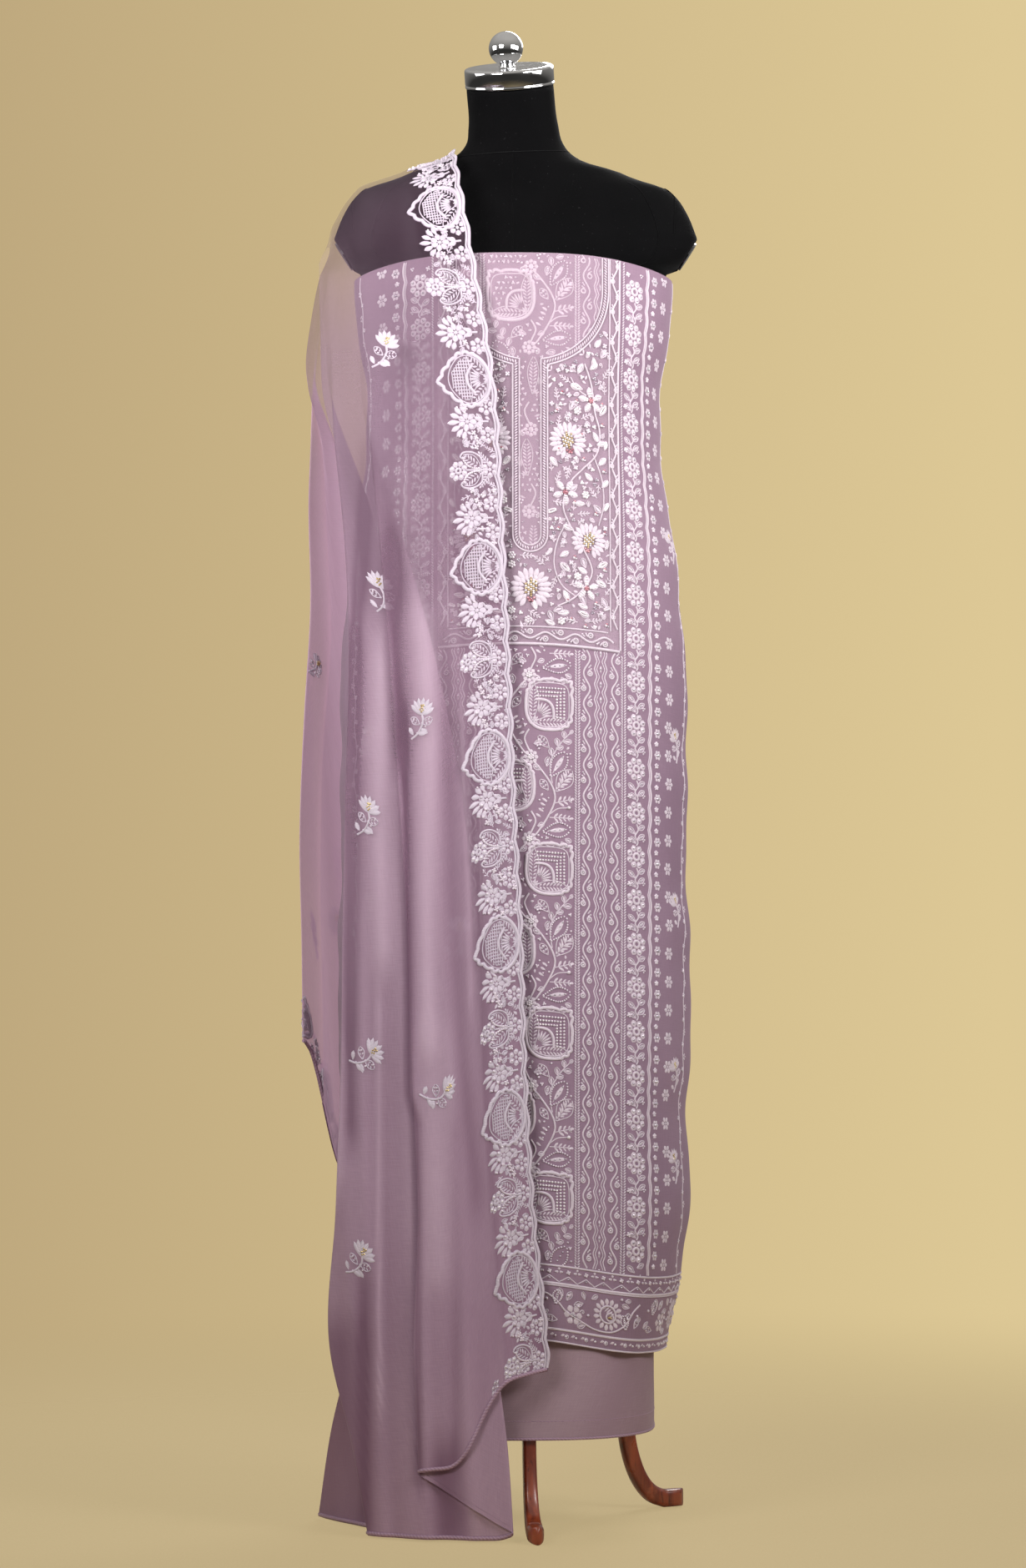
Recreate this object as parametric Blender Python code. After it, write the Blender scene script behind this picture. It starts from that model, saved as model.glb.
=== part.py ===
"""A salwar kameez suit on a limbless dress form with a tripod stand, in metres, +Z up.

Everything is modelled about the form's own axis, with the front at -Y, and then stands at the
middle of its box. The garments are closed walls through sections worked out from their sizes.
"""

import math

import bpy
import numpy as np
from mathutils import Matrix, Vector

# Driving sizes, in metres.
AXIS_X = 0.01757
AXIS_Y = 0.01774
GAP = 0.0003
CLOTH = 0.0012
SHEER = 0.0011
NECK_TOP = 1.5890
TORSO_BOTTOM = 0.760
WAIST_TOP = 1.100
SALWAR_HEM = 0.105
SHOULDER_FOOT = 1.385
BACK_FALL_LOW = 0.375
FLOOR_CLEAR = 0.002
YOKE_CENTRE = 0.0185
YOKE_HALF = 0.100
YOKE_BOTTOM = 0.9645
FOLD_RADIUS = 0.0021
FOLD_OPENING = 0.012
DRAPE_CLEAR = 0.0060
SHOULDER_CLEAR = 0.0012
CAP_RADIUS = 0.0496
CAP_HEIGHT = 0.0218
BALL_RADIUS = 0.019
NOD = math.radians(13.4)
ROLL = math.radians(3.5)
LEG_ANGLES = {"front": 7.0, "right": 119.0, "left": -114.0}
LEG_HALF_ACROSS = 0.0082
LEG_HALF_DEEP = 0.0092
HUB_RADIUS = 0.028
STUB_TOP = (0.2042, 1.4187)
STUB_LOW = (0.1811, 1.3830)
STUB_SLOPE = (STUB_TOP[0] - STUB_LOW[0]) / (STUB_TOP[1] - STUB_LOW[1])
STUB_LEFT_SHORTER = 0.006
PLATE_HALF_WIDE = 0.029
PLATE_HALF_HIGH = 0.0175
PLATE_THICK = 0.0018
TUBE_COLUMNS = 36

# The black form, ring by ring: height, reach to the form's two sides, front and back, and how
# much of the neck's nod the ring takes.
TORSO_RINGS = [
    # z      left    right   front   back    nod
    (0.760, 0.1680, 0.1680, 0.1020, 0.1080, 0.0),
    (0.790, 0.1745, 0.1745, 0.1060, 0.1130, 0.0),
    (0.840, 0.1765, 0.1765, 0.1080, 0.1160, 0.0),
    (0.920, 0.1700, 0.1700, 0.1060, 0.1120, 0.0),
    (1.000, 0.1530, 0.1530, 0.1010, 0.0950, 0.0),
    (1.060, 0.1400, 0.1400, 0.0960, 0.0830, 0.0),
    (1.100, 0.1350, 0.1350, 0.0950, 0.0780, 0.0),
    (1.167, 0.1400, 0.1400, 0.1020, 0.0810, 0.0),
    (1.236, 0.1520, 0.1520, 0.1190, 0.0880, 0.0),
    (1.290, 0.1620, 0.1620, 0.1275, 0.0950, 0.0),
    (1.340, 0.1680, 0.1680, 0.1190, 0.1000, 0.0),
    (1.366, 0.1690, 0.1690, 0.1120, 0.1010, 0.0),
    (1.381, 0.1690, 0.1700, 0.1070, 0.1000, 0.0),
    (1.387, 0.1810, 0.1870, 0.1030, 0.0990, 0.0),
    (1.395, 0.1915, 0.1975, 0.1010, 0.0990, 0.0),
    (1.405, 0.1980, 0.2040, 0.0970, 0.1000, 0.0),
    (1.420, 0.1982, 0.2042, 0.0900, 0.0980, 0.0),
    (1.437, 0.1920, 0.1980, 0.0820, 0.0940, 0.0),
    (1.450, 0.1857, 0.1917, 0.0760, 0.0890, 0.0),
    (1.465, 0.1755, 0.1815, 0.0690, 0.0820, 0.0),
    (1.474, 0.1650, 0.1710, 0.0650, 0.0775, 0.0),
    (1.486, 0.1290, 0.1345, 0.0605, 0.0710, 0.0),
    (1.494, 0.1100, 0.1155, 0.0580, 0.0670, 0.0),
    (1.503, 0.0790, 0.0830, 0.0555, 0.0630, 0.0),
    (1.513, 0.0620, 0.0650, 0.0530, 0.0600, 0.1),
    (1.524, 0.0530, 0.0560, 0.0510, 0.0565, 0.3),
    (1.545, 0.0495, 0.0500, 0.0495, 0.0510, 0.7),
    (1.5890, 0.0516, 0.0448, 0.0482, 0.0482, 1.0),
]

# The kameez, outside: height, half width, reach in front and behind.
KAMEEZ_RINGS = [
    (0.180, 0.1660, 0.1500, 0.1480),
    (0.240, 0.1760, 0.1540, 0.1500),
    (0.296, 0.1880, 0.1520, 0.1500),
    (0.360, 0.1940, 0.1500, 0.1480),
    (0.426, 0.1900, 0.1460, 0.1460),
    (0.574, 0.1950, 0.1440, 0.1420),
    (0.722, 0.1910, 0.1400, 0.1380),
    (0.880, 0.1920, 0.1360, 0.1340),
    (0.972, 0.1895, 0.1320, 0.1280),
    (1.046, 0.1820, 0.1280, 0.1180),
    (1.120, 0.1720, 0.1250, 0.1080),
    (1.167, 0.1640, 0.1250, 0.1060),
    (1.236, 0.1620, 0.1275, 0.1060),
    (1.290, 0.1690, 0.1300, 0.1080),
    (1.340, 0.1745, 0.1250, 0.1080),
    (1.400, 0.1755, 0.1210, 0.1070),
]

# The salwar cloth, middle of the wall: height, half width, reach in front and behind.
SALWAR_RINGS = [
    (0.105, 0.1560, 0.1575, 0.1600),
    (0.200, 0.1560, 0.1485, 0.1440),
    (0.300, 0.1580, 0.1430, 0.1400),
    (0.450, 0.1640, 0.1360, 0.1340),
    (0.620, 0.1700, 0.1290, 0.1290),
    (0.760, 0.1780, 0.1200, 0.1230),
    (0.840, 0.1820, 0.1150, 0.1220),
    (0.920, 0.1760, 0.1130, 0.1190),
    (1.000, 0.1590, 0.1070, 0.1010),
    (1.060, 0.1430, 0.0990, 0.0860),
    (1.100, 0.1366, 0.0966, 0.0796),
]

# The dupatta's front fall: height, where its inner scalloped edge and the two left folds stand,
# the width turned back under each fold, and the width of the last, hidden run.
FRONT_FALL = [
    # z      edge     fold_1   back_1  fold_2   back_2  last
    (0.000, 0.0400, -0.0993, 0.098, -0.1544, 0.088, 0.150),
    (0.100, 0.0400, -0.1000, 0.092, -0.1730, 0.100, 0.128),
    (0.200, 0.0400, -0.1045, 0.084, -0.1970, 0.130, 0.112),
    (0.350, 0.0253, -0.1000, 0.070, -0.1905, 0.135, 0.120),
    (0.500, 0.0163, -0.1061, 0.066, -0.1809, 0.130, 0.114),
    (0.650, 0.0117, -0.1110, 0.066, -0.1745, 0.120, 0.104),
    (0.800, 0.0041, -0.1210, 0.064, -0.1654, 0.106, 0.088),
    (0.950, -0.0018, -0.1309, 0.045, -0.1560, 0.066, 0.050),
    (1.100, -0.0090, -0.1445, 0.020, -0.1690, 0.030, 0.018),
    (1.250, -0.0185, -0.1580, 0.005, -0.1860, 0.008, 0.006),
    (1.385, -0.0406, -0.1652, 0.003, -0.1990, 0.003, 0.003),
]

# The back fall, with the same columns.
BACK_FALL = [
    (0.375, -0.0300, -0.1300, 0.070, -0.2335, 0.115, 0.095),
    (0.500, -0.0300, -0.1300, 0.070, -0.2345, 0.115, 0.095),
    (0.650, -0.0300, -0.1300, 0.068, -0.2365, 0.110, 0.090),
    (0.800, -0.0300, -0.1350, 0.062, -0.2320, 0.100, 0.082),
    (0.950, -0.0350, -0.1400, 0.050, -0.2250, 0.085, 0.065),
    (1.100, -0.0400, -0.1450, 0.030, -0.2260, 0.050, 0.034),
    (1.250, -0.0450, -0.1550, 0.008, -0.2150, 0.012, 0.008),
    (1.385, -0.0500, -0.1650, 0.003, -0.2020, 0.003, 0.003),
]

# The plan line that each fall hangs on: height, half width of its ellipse, reach.
FRONT_LINE = [
    (0.000, 0.2300, 0.1780),
    (0.120, 0.2400, 0.1680),
    (0.300, 0.2550, 0.1580),
    (0.574, 0.2600, 0.1520),
    (0.880, 0.2600, 0.1440),
    (1.120, 0.2600, 0.1340),
    (1.290, 0.2550, 0.1370),
    (1.385, 0.2450, 0.1290),
]
BACK_LINE = [
    (0.375, 0.2460, 0.1580),
    (0.574, 0.2460, 0.1500),
    (0.880, 0.2440, 0.1410),
    (1.120, 0.2400, 0.1220),
    (1.385, 0.2300, 0.1180),
]

# The line of the cloth's highest points over the shoulder, from the neck outwards: x, z.
SHOULDER_CREST = [
    (-0.0640, 1.5180),
    (-0.0790, 1.5060),
    (-0.1100, 1.4975),
    (-0.1290, 1.4895),
    (-0.1650, 1.4775),
    (-0.1755, 1.4695),
    (-0.1875, 1.4545),
    (-0.1945, 1.4420),
    (-0.2015, 1.4270),
    (-0.2035, 1.4080),
]

# A leg's middle line: distance from the form's axis, height.
LEG_PATH = [
    (0.0283, 0.400),
    (0.0450, 0.402),
    (0.0700, 0.392),
    (0.0940, 0.352),
    (0.1140, 0.290),
    (0.1280, 0.220),
    (0.1365, 0.160),
    (0.1430, 0.105),
    (0.1490, 0.068),
    (0.1600, 0.038),
    (0.1760, 0.0180),
    (0.1960, 0.0100),
    (0.2180, 0.0100),
]

# The pole and its hub, from the top: radius, height.
POLE_PROFILE = [
    (0.0600, TORSO_BOTTOM - GAP),
    (0.0600, 0.7500),
    (0.0170, 0.7350),
    (0.0150, 0.6400),
    (0.0200, 0.4600),
    (HUB_RADIUS, 0.4400),
    (HUB_RADIUS, 0.3600),
    (0.0200, 0.3400),
    (0.0080, 0.3250),
]


def smooth(at, table, column):
    """Values at `at` on a cubic curve through one column of a table, against its first column."""
    rows = np.array(sorted(table))
    knots = rows[:, 0]
    values = rows[:, column]
    slopes = np.gradient(values, knots)
    at = np.clip(at, knots[0], knots[-1])
    low = np.clip(np.searchsorted(knots, at) - 1, 0, len(knots) - 2)
    step = knots[low + 1] - knots[low]
    t = (at - knots[low]) / step
    start = (2 * t**3 - 3 * t**2 + 1) * values[low] + (t**3 - 2 * t**2 + t) * step * slopes[low]
    return start + (3 * t**2 - 2 * t**3) * values[low + 1] + (t**3 - t**2) * step * slopes[low + 1]


def ease(t):
    """0 to 1 with level ends."""
    t = np.clip(t, 0, 1)
    return t * t * (3 - 2 * t)


def superellipse(angle, right, left, front, back, power):
    """x and y of a plan section whose reach differs to each side; angle 0 is +X, 270 degrees the front."""
    cosine = np.cos(angle)
    sine = np.sin(angle)
    across = np.where(cosine < 0, left, right) * np.sign(cosine) * np.abs(cosine) ** (2 / power)
    deep = np.where(sine < 0, front, back) * np.sign(sine) * np.abs(sine) ** (2 / power)
    return across, deep


def new_object(name, vertices, faces, look, soft=True):
    mesh = bpy.data.meshes.new(name)
    mesh.from_pydata([tuple(v) for v in vertices], [], faces)
    mesh.validate()
    if soft:
        mesh.shade_smooth()
        mesh.set_sharp_from_angle(angle=math.radians(40))
    mesh.materials.append(look)
    obj = bpy.data.objects.new(name, mesh)
    bpy.context.scene.collection.objects.link(obj)
    obj.parent = bpy.data.objects["stand_centre"]
    return obj


def quads(rows, columns, closed):
    """Quads of a grid of points held row by row; a closed grid joins its last column to its first."""
    row = np.arange(rows - 1)[:, None] * columns
    column = np.arange(columns if closed else columns - 1)[None, :]
    after = (column + 1) % columns
    corners = (row + column, row + columns + column, row + columns + after, row + after)
    return np.stack([c.reshape(-1) for c in np.broadcast_arrays(*corners)], axis=1).tolist()


def wall(name, points, thickness, outwards, look, closed=False):
    """A sheet through a grid of points, made a wall on one side of them or, with outwards 0, on both."""
    rows, columns = points.shape[:2]
    obj = new_object(name, points.reshape(-1, 3), quads(rows, columns, closed), look)
    solid = obj.modifiers.new("wall", "SOLIDIFY")
    solid.thickness = thickness
    solid.offset = outwards
    solid.use_even_offset = False
    return obj


def loft(name, rings, look, soft=True):
    """A solid through closed rings of points, from top to bottom, with a flat face on each end."""
    rows, columns = rings.shape[:2]
    faces = quads(rows, columns, True)
    faces.append(list(range(columns)))
    faces.append(list(range(rows * columns - 1, (rows - 1) * columns - 1, -1)))
    return new_object(name, rings.reshape(-1, 3), faces, look, soft)


def turned(name, profile, sides, look):
    """A solid of revolution about Z through (radius, height) points, from top to bottom."""
    angle = np.arange(sides) * 2 * math.pi / sides
    profile = np.array(profile)
    x = profile[:, :1] * np.cos(angle)
    y = profile[:, :1] * np.sin(angle)
    z = profile[:, 1:] + 0 * angle
    return loft(name, np.stack([x, y, z], axis=2), look)


def normals(points):
    """Unit normals of a grid: the way along the rows crossed with the way along the columns."""
    down = np.gradient(points, axis=0)
    along = np.gradient(points, axis=1)
    across = np.cross(down, along)
    return across / np.linalg.norm(across, axis=2, keepdims=True)


def material(name, colour, roughness, metallic=0.0, alpha=1.0):
    look = bpy.data.materials.new(name)
    look.use_nodes = True
    shader = look.node_tree.nodes["Principled BSDF"]
    shader.inputs["Base Color"].default_value = (*colour, 1)
    shader.inputs["Roughness"].default_value = roughness
    shader.inputs["Metallic"].default_value = metallic
    shader.inputs["Alpha"].default_value = alpha
    return look


def torso(look):
    """The black form: superellipse rings from hip to neck, each arm stub ending in a slanting flat."""
    angle = np.arange(TUBE_COLUMNS) * 2 * math.pi / TUBE_COLUMNS
    rings = []
    for z, left, right, front, back, nod in reversed(TORSO_RINGS):
        x, y = superellipse(angle, right, left, front, back, 2.3)
        if STUB_LOW[1] < z < STUB_TOP[1]:
            flat = STUB_TOP[0] - (STUB_TOP[1] - z) * STUB_SLOPE
            x = np.clip(x, STUB_LEFT_SHORTER - flat, flat)
        rings.append(np.stack([x, y, z + nod * (y * math.tan(NOD) + x * math.tan(ROLL))], axis=1))
    loft("form_torso", np.array(rings), look)


def arm_plate(name, side, look):
    """A thin oval plate on the flat end of an arm stub."""
    shorter = STUB_LEFT_SHORTER if side < 0 else 0.0
    middle_z = (STUB_TOP[1] + STUB_LOW[1]) / 2
    middle_x = STUB_TOP[0] - (STUB_TOP[1] - middle_z) * STUB_SLOPE - shorter
    outwards = np.array([side, 0, -STUB_SLOPE]) / math.hypot(1, STUB_SLOPE)
    down = np.array([side * STUB_SLOPE, 0, 1]) / math.hypot(1, STUB_SLOPE)
    angle = side * np.arange(20) * 2 * math.pi / 20
    rim = np.cos(angle)[:, None] * (0, 1, 0) * PLATE_HALF_WIDE
    rim = rim + np.sin(angle)[:, None] * down * PLATE_HALF_HIGH
    inner = (side * middle_x, 0, middle_z) + rim + outwards * GAP
    loft(name, np.stack([inner + outwards * PLATE_THICK, inner]), look, soft=False)


def neck_fittings(look):
    """The polished cap on the neck and the ball on the cap, both tilted with the neck."""
    tilt = Matrix.Rotation(-ROLL, 4, "Y") @ Matrix.Rotation(NOD, 4, "X")
    bevel = [(0.92, 0.0), (0.99, 0.001), (1.0, 0.004)]
    top = [(CAP_RADIUS * share, CAP_HEIGHT - drop) for share, drop in bevel]
    low = [(CAP_RADIUS * 0.985, 0.0)]
    cap = turned("form_neck_cap", top + [(CAP_RADIUS, 0.001)] + low, 36, look)
    seat = Vector((-0.0034, 0, NECK_TOP)) + tilt @ Vector((0, 0, GAP + 0.0002))
    cap.matrix_local = Matrix.Translation(seat) @ tilt
    turn = np.linspace(0.20, math.pi - 0.45, 10)
    ball = [(BALL_RADIUS * math.sin(a), BALL_RADIUS * math.cos(a)) for a in turn]
    ball.append((0.0095, -BALL_RADIUS - 0.0010))
    knob = turned("form_neck_ball", ball, 18, look)
    centre = seat + tilt @ Vector((-0.002, 0, CAP_HEIGHT + BALL_RADIUS + 0.0010 + GAP))
    knob.matrix_local = Matrix.Translation(centre) @ tilt


def stand_leg(name, degrees, look):
    """A cabriole leg: an eight-sided section carried along its path, flat under the foot."""
    bevel = 0.0032
    a, d = LEG_HALF_ACROSS, LEG_HALF_DEEP
    section = np.array(
        [
            (a, d - bevel), (a - bevel, d), (bevel - a, d), (-a, d - bevel),
            (-a, bevel - d), (bevel - a, -d), (a - bevel, -d), (a, bevel - d),
        ]
    )  # fmt: skip
    along = np.linspace(0, 1, len(LEG_PATH))
    fine = np.linspace(0, 1, 2 * len(LEG_PATH) - 1)
    radius = smooth(fine, list(zip(along, [p[0] for p in LEG_PATH])), 1)
    height = smooth(fine, list(zip(along, [p[1] for p in LEG_PATH])), 1)
    height[-3:] = LEG_HALF_DEEP + 0.0008
    way_r = np.gradient(radius)
    way_z = np.gradient(height)
    way_z[-3:] = 0
    way_r[0], way_z[0] = 1.0, 0.0
    length = np.hypot(way_r, way_z)
    across_r, across_z = -way_z / length, way_r / length
    swell = 1 + 0.0008 / LEG_HALF_DEEP * ease((fine - 0.8) / 0.1)
    r = radius[:, None] + across_r[:, None] * section[None, :, 1] * swell[:, None]
    z = height[:, None] + across_z[:, None] * section[None, :, 1] * swell[:, None]
    side = section[None, :, 0] * swell[:, None]
    turn = math.radians(degrees)
    out = np.array([math.sin(turn), -math.cos(turn)])
    flank = np.array([math.cos(turn), math.sin(turn)])
    x = r * out[0] + side * flank[0]
    y = r * out[1] + side * flank[1]
    return loft(name, np.stack([x, y, z], axis=2)[:, ::-1], look, soft=False)


def ring_at(table, z, angle, power):
    half = smooth(z, table, 1)
    x, y = superellipse(angle, half, half, smooth(z, table, 2), smooth(z, table, 3), power)
    return np.stack([x, y, z + 0 * x], axis=-1)


def kameez_heights(x, z_share):
    """Heights from the top edge, which dips to the sides, to the hem, which dips more."""
    side = np.abs(x) / 0.176
    top = 1.393 - 0.022 * side**3
    hem = 0.215 - 0.024 * ease(side)
    return top + (hem - top) * z_share


def kameez_folds(z, angle):
    """Soft upright folds, deeper towards the hem: two waves round the body, out of step."""
    depth = 0.0030 * ease((1.05 - z) / 0.7)
    return depth * (0.6 * np.sin(9 * angle + 2.2) + 0.4 * np.sin(14 * angle + 3 * z))


def kameez_grid(angles, shares):
    """A grid of the kameez's outer points: shares of its height down, plan angles along."""
    x, _ = superellipse(angles, 0.176, 0.176, 0.13, 0.13, 2.3)
    z = kameez_heights(x, shares[:, None])
    angle = angles + 0 * z
    points = ring_at(KAMEEZ_RINGS, z, angle, 2.3)
    out = points * (1, 1, 0)
    out /= np.linalg.norm(out, axis=2, keepdims=True)
    return points + out * kameez_folds(z, angle)[:, :, None]


def kameez(look, yoke_look):
    """Front and back panels, and the yoke made from the front panel's own points, moved out."""
    seam = 0.0009
    left = math.pi + np.arccos(((YOKE_HALF - YOKE_CENTRE) / 0.176) ** 1.15)
    right = 2 * math.pi - np.arccos(((YOKE_HALF + YOKE_CENTRE) / 0.176) ** 1.15)
    parts = (
        np.linspace(math.pi + seam, left, 6)[:-1],
        np.linspace(left, right, 11)[:-1],
        np.linspace(right, 2 * math.pi - seam, 6),
    )
    front_angles = np.concatenate(parts)
    top = kameez_heights(YOKE_CENTRE, 0)
    share = (top - YOKE_BOTTOM) / (top - kameez_heights(YOKE_CENTRE, 1))
    shares = np.concatenate([np.linspace(0, share, 9)[:-1], np.linspace(share, 1, 13)])
    front = kameez_grid(front_angles, shares)
    wall("kameez_front", front, CLOTH, -1, look)
    back = kameez_grid(np.linspace(seam, math.pi - seam, 21), shares)
    wall("kameez_back", back, CLOTH, -1, look)
    lifted = front + normals(front) * 0.0006
    wall("kameez_yoke", lifted[:9, 5:16], 0.0010, 1, yoke_look)


def salwar(look):
    """The plain bottom cloth: one tube from the waist, where it hugs the form, to its level hem."""
    angle = np.arange(TUBE_COLUMNS) * 2 * math.pi / TUBE_COLUMNS
    z = np.concatenate([[WAIST_TOP, 1.08, 1.06], np.linspace(1.03, SALWAR_HEM, 9)])[:, None]
    power = 2.3 + 0.45 * ease((0.20 - z) / 0.09)
    tube = ring_at(SALWAR_RINGS, z + 0 * angle, angle + 0 * z, power)
    wall("salwar_cloth", tube, CLOTH, 0, look, closed=True)


def fold_section(z, table, run_points, turn_points):
    """Plan sections of a fall at heights z: x of each point, and its distance off the plan line.

    A section runs left from the inner edge to fold 1, turns under, runs right, turns back, runs
    left to fold 2, turns under, runs right, turns back and runs left to the hidden last edge.
    Where little cloth is turned back, the fold opens and its layers flatten into one.
    """
    edge, fold_1, back_1, fold_2, back_2, last = (smooth(z, table, k) for k in range(1, 7))
    turn_1, turn_2 = (math.pi * (1 - np.exp(-((b / FOLD_OPENING) ** 1.5))) for b in (back_1, back_2))
    start_3 = fold_1 - back_1 * np.cos(turn_1)
    start_5 = fold_2 - back_2 * np.cos(turn_2)
    first = edge - fold_1
    third = np.maximum(start_3 - fold_2, 0.006)
    lengths = []
    headings = []

    def run(length, heading, count):
        share = np.full(count, 1 / count)
        lengths.append(length[:, None] * share)
        headings.append(heading[:, None] + 0 * share)

    def turn(angle, start, count):
        middle = (np.arange(count) + 0.5) / count
        lengths.append(FOLD_RADIUS * angle[:, None] / count + 0.0004 + 0 * middle)
        headings.append((start + angle[:, None] * middle) if start is not None else
                        (angle[:, None] * (1 - middle)))

    level = np.zeros_like(z)
    run(first, level, run_points + 2)
    turn(turn_1, 0.0, turn_points)
    run(back_1, turn_1, run_points - 2)
    turn(turn_1, None, turn_points)
    run(third, level, run_points)
    turn(turn_2, 0.0, turn_points)
    run(back_2, turn_2, run_points)
    turn(turn_2, None, turn_points)
    run(last, level, run_points)
    length = np.concatenate(lengths, axis=1)
    heading = np.concatenate(headings, axis=1)
    x = edge[:, None] - np.cumsum(length * np.cos(heading), axis=1)
    drop = np.cumsum(length * np.sin(heading), axis=1)
    x = np.concatenate([edge[:, None], x], axis=1)
    drop = np.concatenate([level[:, None], drop], axis=1)
    # The first run climbs over the layers under it, in the part that has none of them below.
    bare = np.maximum(first - np.maximum(back_1, 0.02) - 0.004, 0.03)
    climb = drop[:, -1:] * ease((edge[:, None] - x) / bare[:, None])
    on_first = np.arange(x.shape[1]) <= run_points + 2
    rise = np.where(on_first, climb, drop[:, -1:])
    return x, rise - drop


def fall_grid(table, line, heights, side, run_points, turn_points):
    """Points of a fall at heights of one row for each level and one column for each section point."""
    levels = np.linspace(table[0][0], SHOULDER_FOOT, 90)
    x_all, lift_all = fold_section(levels, table, run_points, turn_points)
    columns = range(x_all.shape[1])
    x = np.stack([np.interp(heights[:, j], levels, x_all[:, j]) for j in columns], axis=1)
    lift = np.stack([np.interp(heights[:, j], levels, lift_all[:, j]) for j in columns], axis=1)
    half = smooth(heights, line, 1)
    reach = smooth(heights, line, 2) + DRAPE_CLEAR
    deep = reach * (1 - np.clip(np.abs(x) / half, 0, 0.995) ** 2.2) ** (1 / 2.2)
    y = side * (deep + lift)
    return np.stack([x, y, heights], axis=2)


def front_hems(count, run_points, turn_points):
    """Hem height of each column of the front fall: the top layer's end climbs towards its inner edge."""
    first = run_points + 3
    fold = first + turn_points
    second = fold + run_points - 2
    hem = np.full(count, FLOOR_CLEAR)
    hem[:first] = np.interp(
        np.linspace(0.040, -0.0993, first),
        [-0.0993, -0.063, -0.048, -0.027, -0.007, 0.040],
        [0.075, 0.077, 0.095, 0.143, 0.173, 0.182],
    )
    hem[first:fold] = 0.072
    hem[fold:second] = np.linspace(0.068, 0.012, second - fold)
    hem[second:second + turn_points] = 0.009
    return hem


def dupatta(look, rows=(20, 9, 13), run_points=5, turn_points=3):
    """The sheer dupatta: front fall, the stretch over the shoulder, and back fall."""
    count = 1 + 5 * run_points + 4 * turn_points
    hem = front_hems(count, run_points, turn_points)
    share = np.linspace(0, 1, rows[0])[:, None]
    heights = hem + (SHOULDER_FOOT - hem) * share
    front = fall_grid(FRONT_FALL, FRONT_LINE, heights, -1, run_points, turn_points)
    swing = 0.075 * ease((0.30 - front[:, :, 2]) / 0.30)
    swing *= ease((np.arange(count) - (count - run_points - 1)) / run_points)
    front[:, :, 1] += swing
    share = np.linspace(1, 0, rows[2])[:, None]
    levels = BACK_FALL_LOW + (SHOULDER_FOOT - BACK_FALL_LOW) * share + np.zeros(count)
    back = fall_grid(BACK_FALL, BACK_LINE, levels, 1, run_points, turn_points)
    corner = BACK_FALL_LOW + 0.150 * ease((-0.190 - back[-1, :, 0]) / 0.045)
    back[:, :, 2] = corner + (SHOULDER_FOOT - corner) * share
    turn = np.linspace(0, math.pi, rows[1])[:, None, None]
    foot = front[-1] + (back[0] - front[-1]) * ease(turn / math.pi)
    place = np.linspace(0, 1, len(SHOULDER_CREST))
    along = np.abs(front[-1, :, 0] - front[-1, 0, 0]) / np.ptp(front[-1, :, 0])
    crest_x = smooth(along, [(p, c[0]) for p, c in zip(place, SHOULDER_CREST)], 1)
    crest_z = smooth(along, [(p, c[1]) for p, c in zip(place, SHOULDER_CREST)], 1)
    arch = np.sin(turn[:, :, 0]) ** 0.85
    x = foot[:, :, 0] + (crest_x - foot[:, :, 0]) * arch
    z = foot[:, :, 2] + (crest_z + SHOULDER_CLEAR - foot[:, :, 2]) * arch
    reach = np.cos(turn[:, :, 0])
    y = np.where(reach > 0, front[-1, :, 1] * reach, -back[0, :, 1] * reach)
    over = np.stack([x, y, z], axis=2)
    front[-1, :, 2] -= GAP
    back[0, :, 2] -= GAP
    wall("dupatta_front", front, SHEER, 0, look)
    wall("dupatta_shoulder", over, SHEER, 0, look)
    wall("dupatta_back", back, SHEER, 0, look)


def main():
    for obj in list(bpy.data.objects):
        bpy.data.objects.remove(obj, do_unlink=True)
    centre = bpy.data.objects.new("stand_centre", None)
    centre.location = (AXIS_X, AXIS_Y, 0)
    bpy.context.scene.collection.objects.link(centre)
    jersey = material("black_jersey", (0.012, 0.012, 0.014), 0.85)
    steel = material("polished_steel", (0.62, 0.62, 0.64), 0.12, 1.0)
    wood = material("red_brown_wood", (0.30, 0.07, 0.025), 0.35)
    lilac = material("lilac_georgette", (0.42, 0.30, 0.45), 0.7)
    yoke = material("pale_yoke_georgette", (0.52, 0.40, 0.55), 0.65)
    plain = material("lilac_lining_cloth", (0.22, 0.13, 0.21), 0.7)
    sheer = material("sheer_chiffon", (0.42, 0.28, 0.42), 0.6, alpha=0.5)
    torso(jersey)
    arm_plate("arm_plate_right", 1, jersey)
    arm_plate("arm_plate_left", -1, jersey)
    neck_fittings(steel)
    turned("form_pole", POLE_PROFILE, 20, wood)
    for side, degrees in LEG_ANGLES.items():
        stand_leg(f"stand_leg_{side}", degrees, wood)
    kameez(lilac, yoke)
    salwar(plain)
    dupatta(sheer)


main()
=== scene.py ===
"""Looks of a salwar kameez suit on a limbless dress form: cloth, embroidery, beads, form and stand.

Every cloth is a grid of points against flat coordinates, u across and v along the cloth. Its
embroidery is laid out flat, in metres, and then put on the grid and lifted off it.
"""

from math import acos, cos, pi, radians, sin, tan

import bpy
import numpy as np
from mathutils import Matrix, Vector


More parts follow.
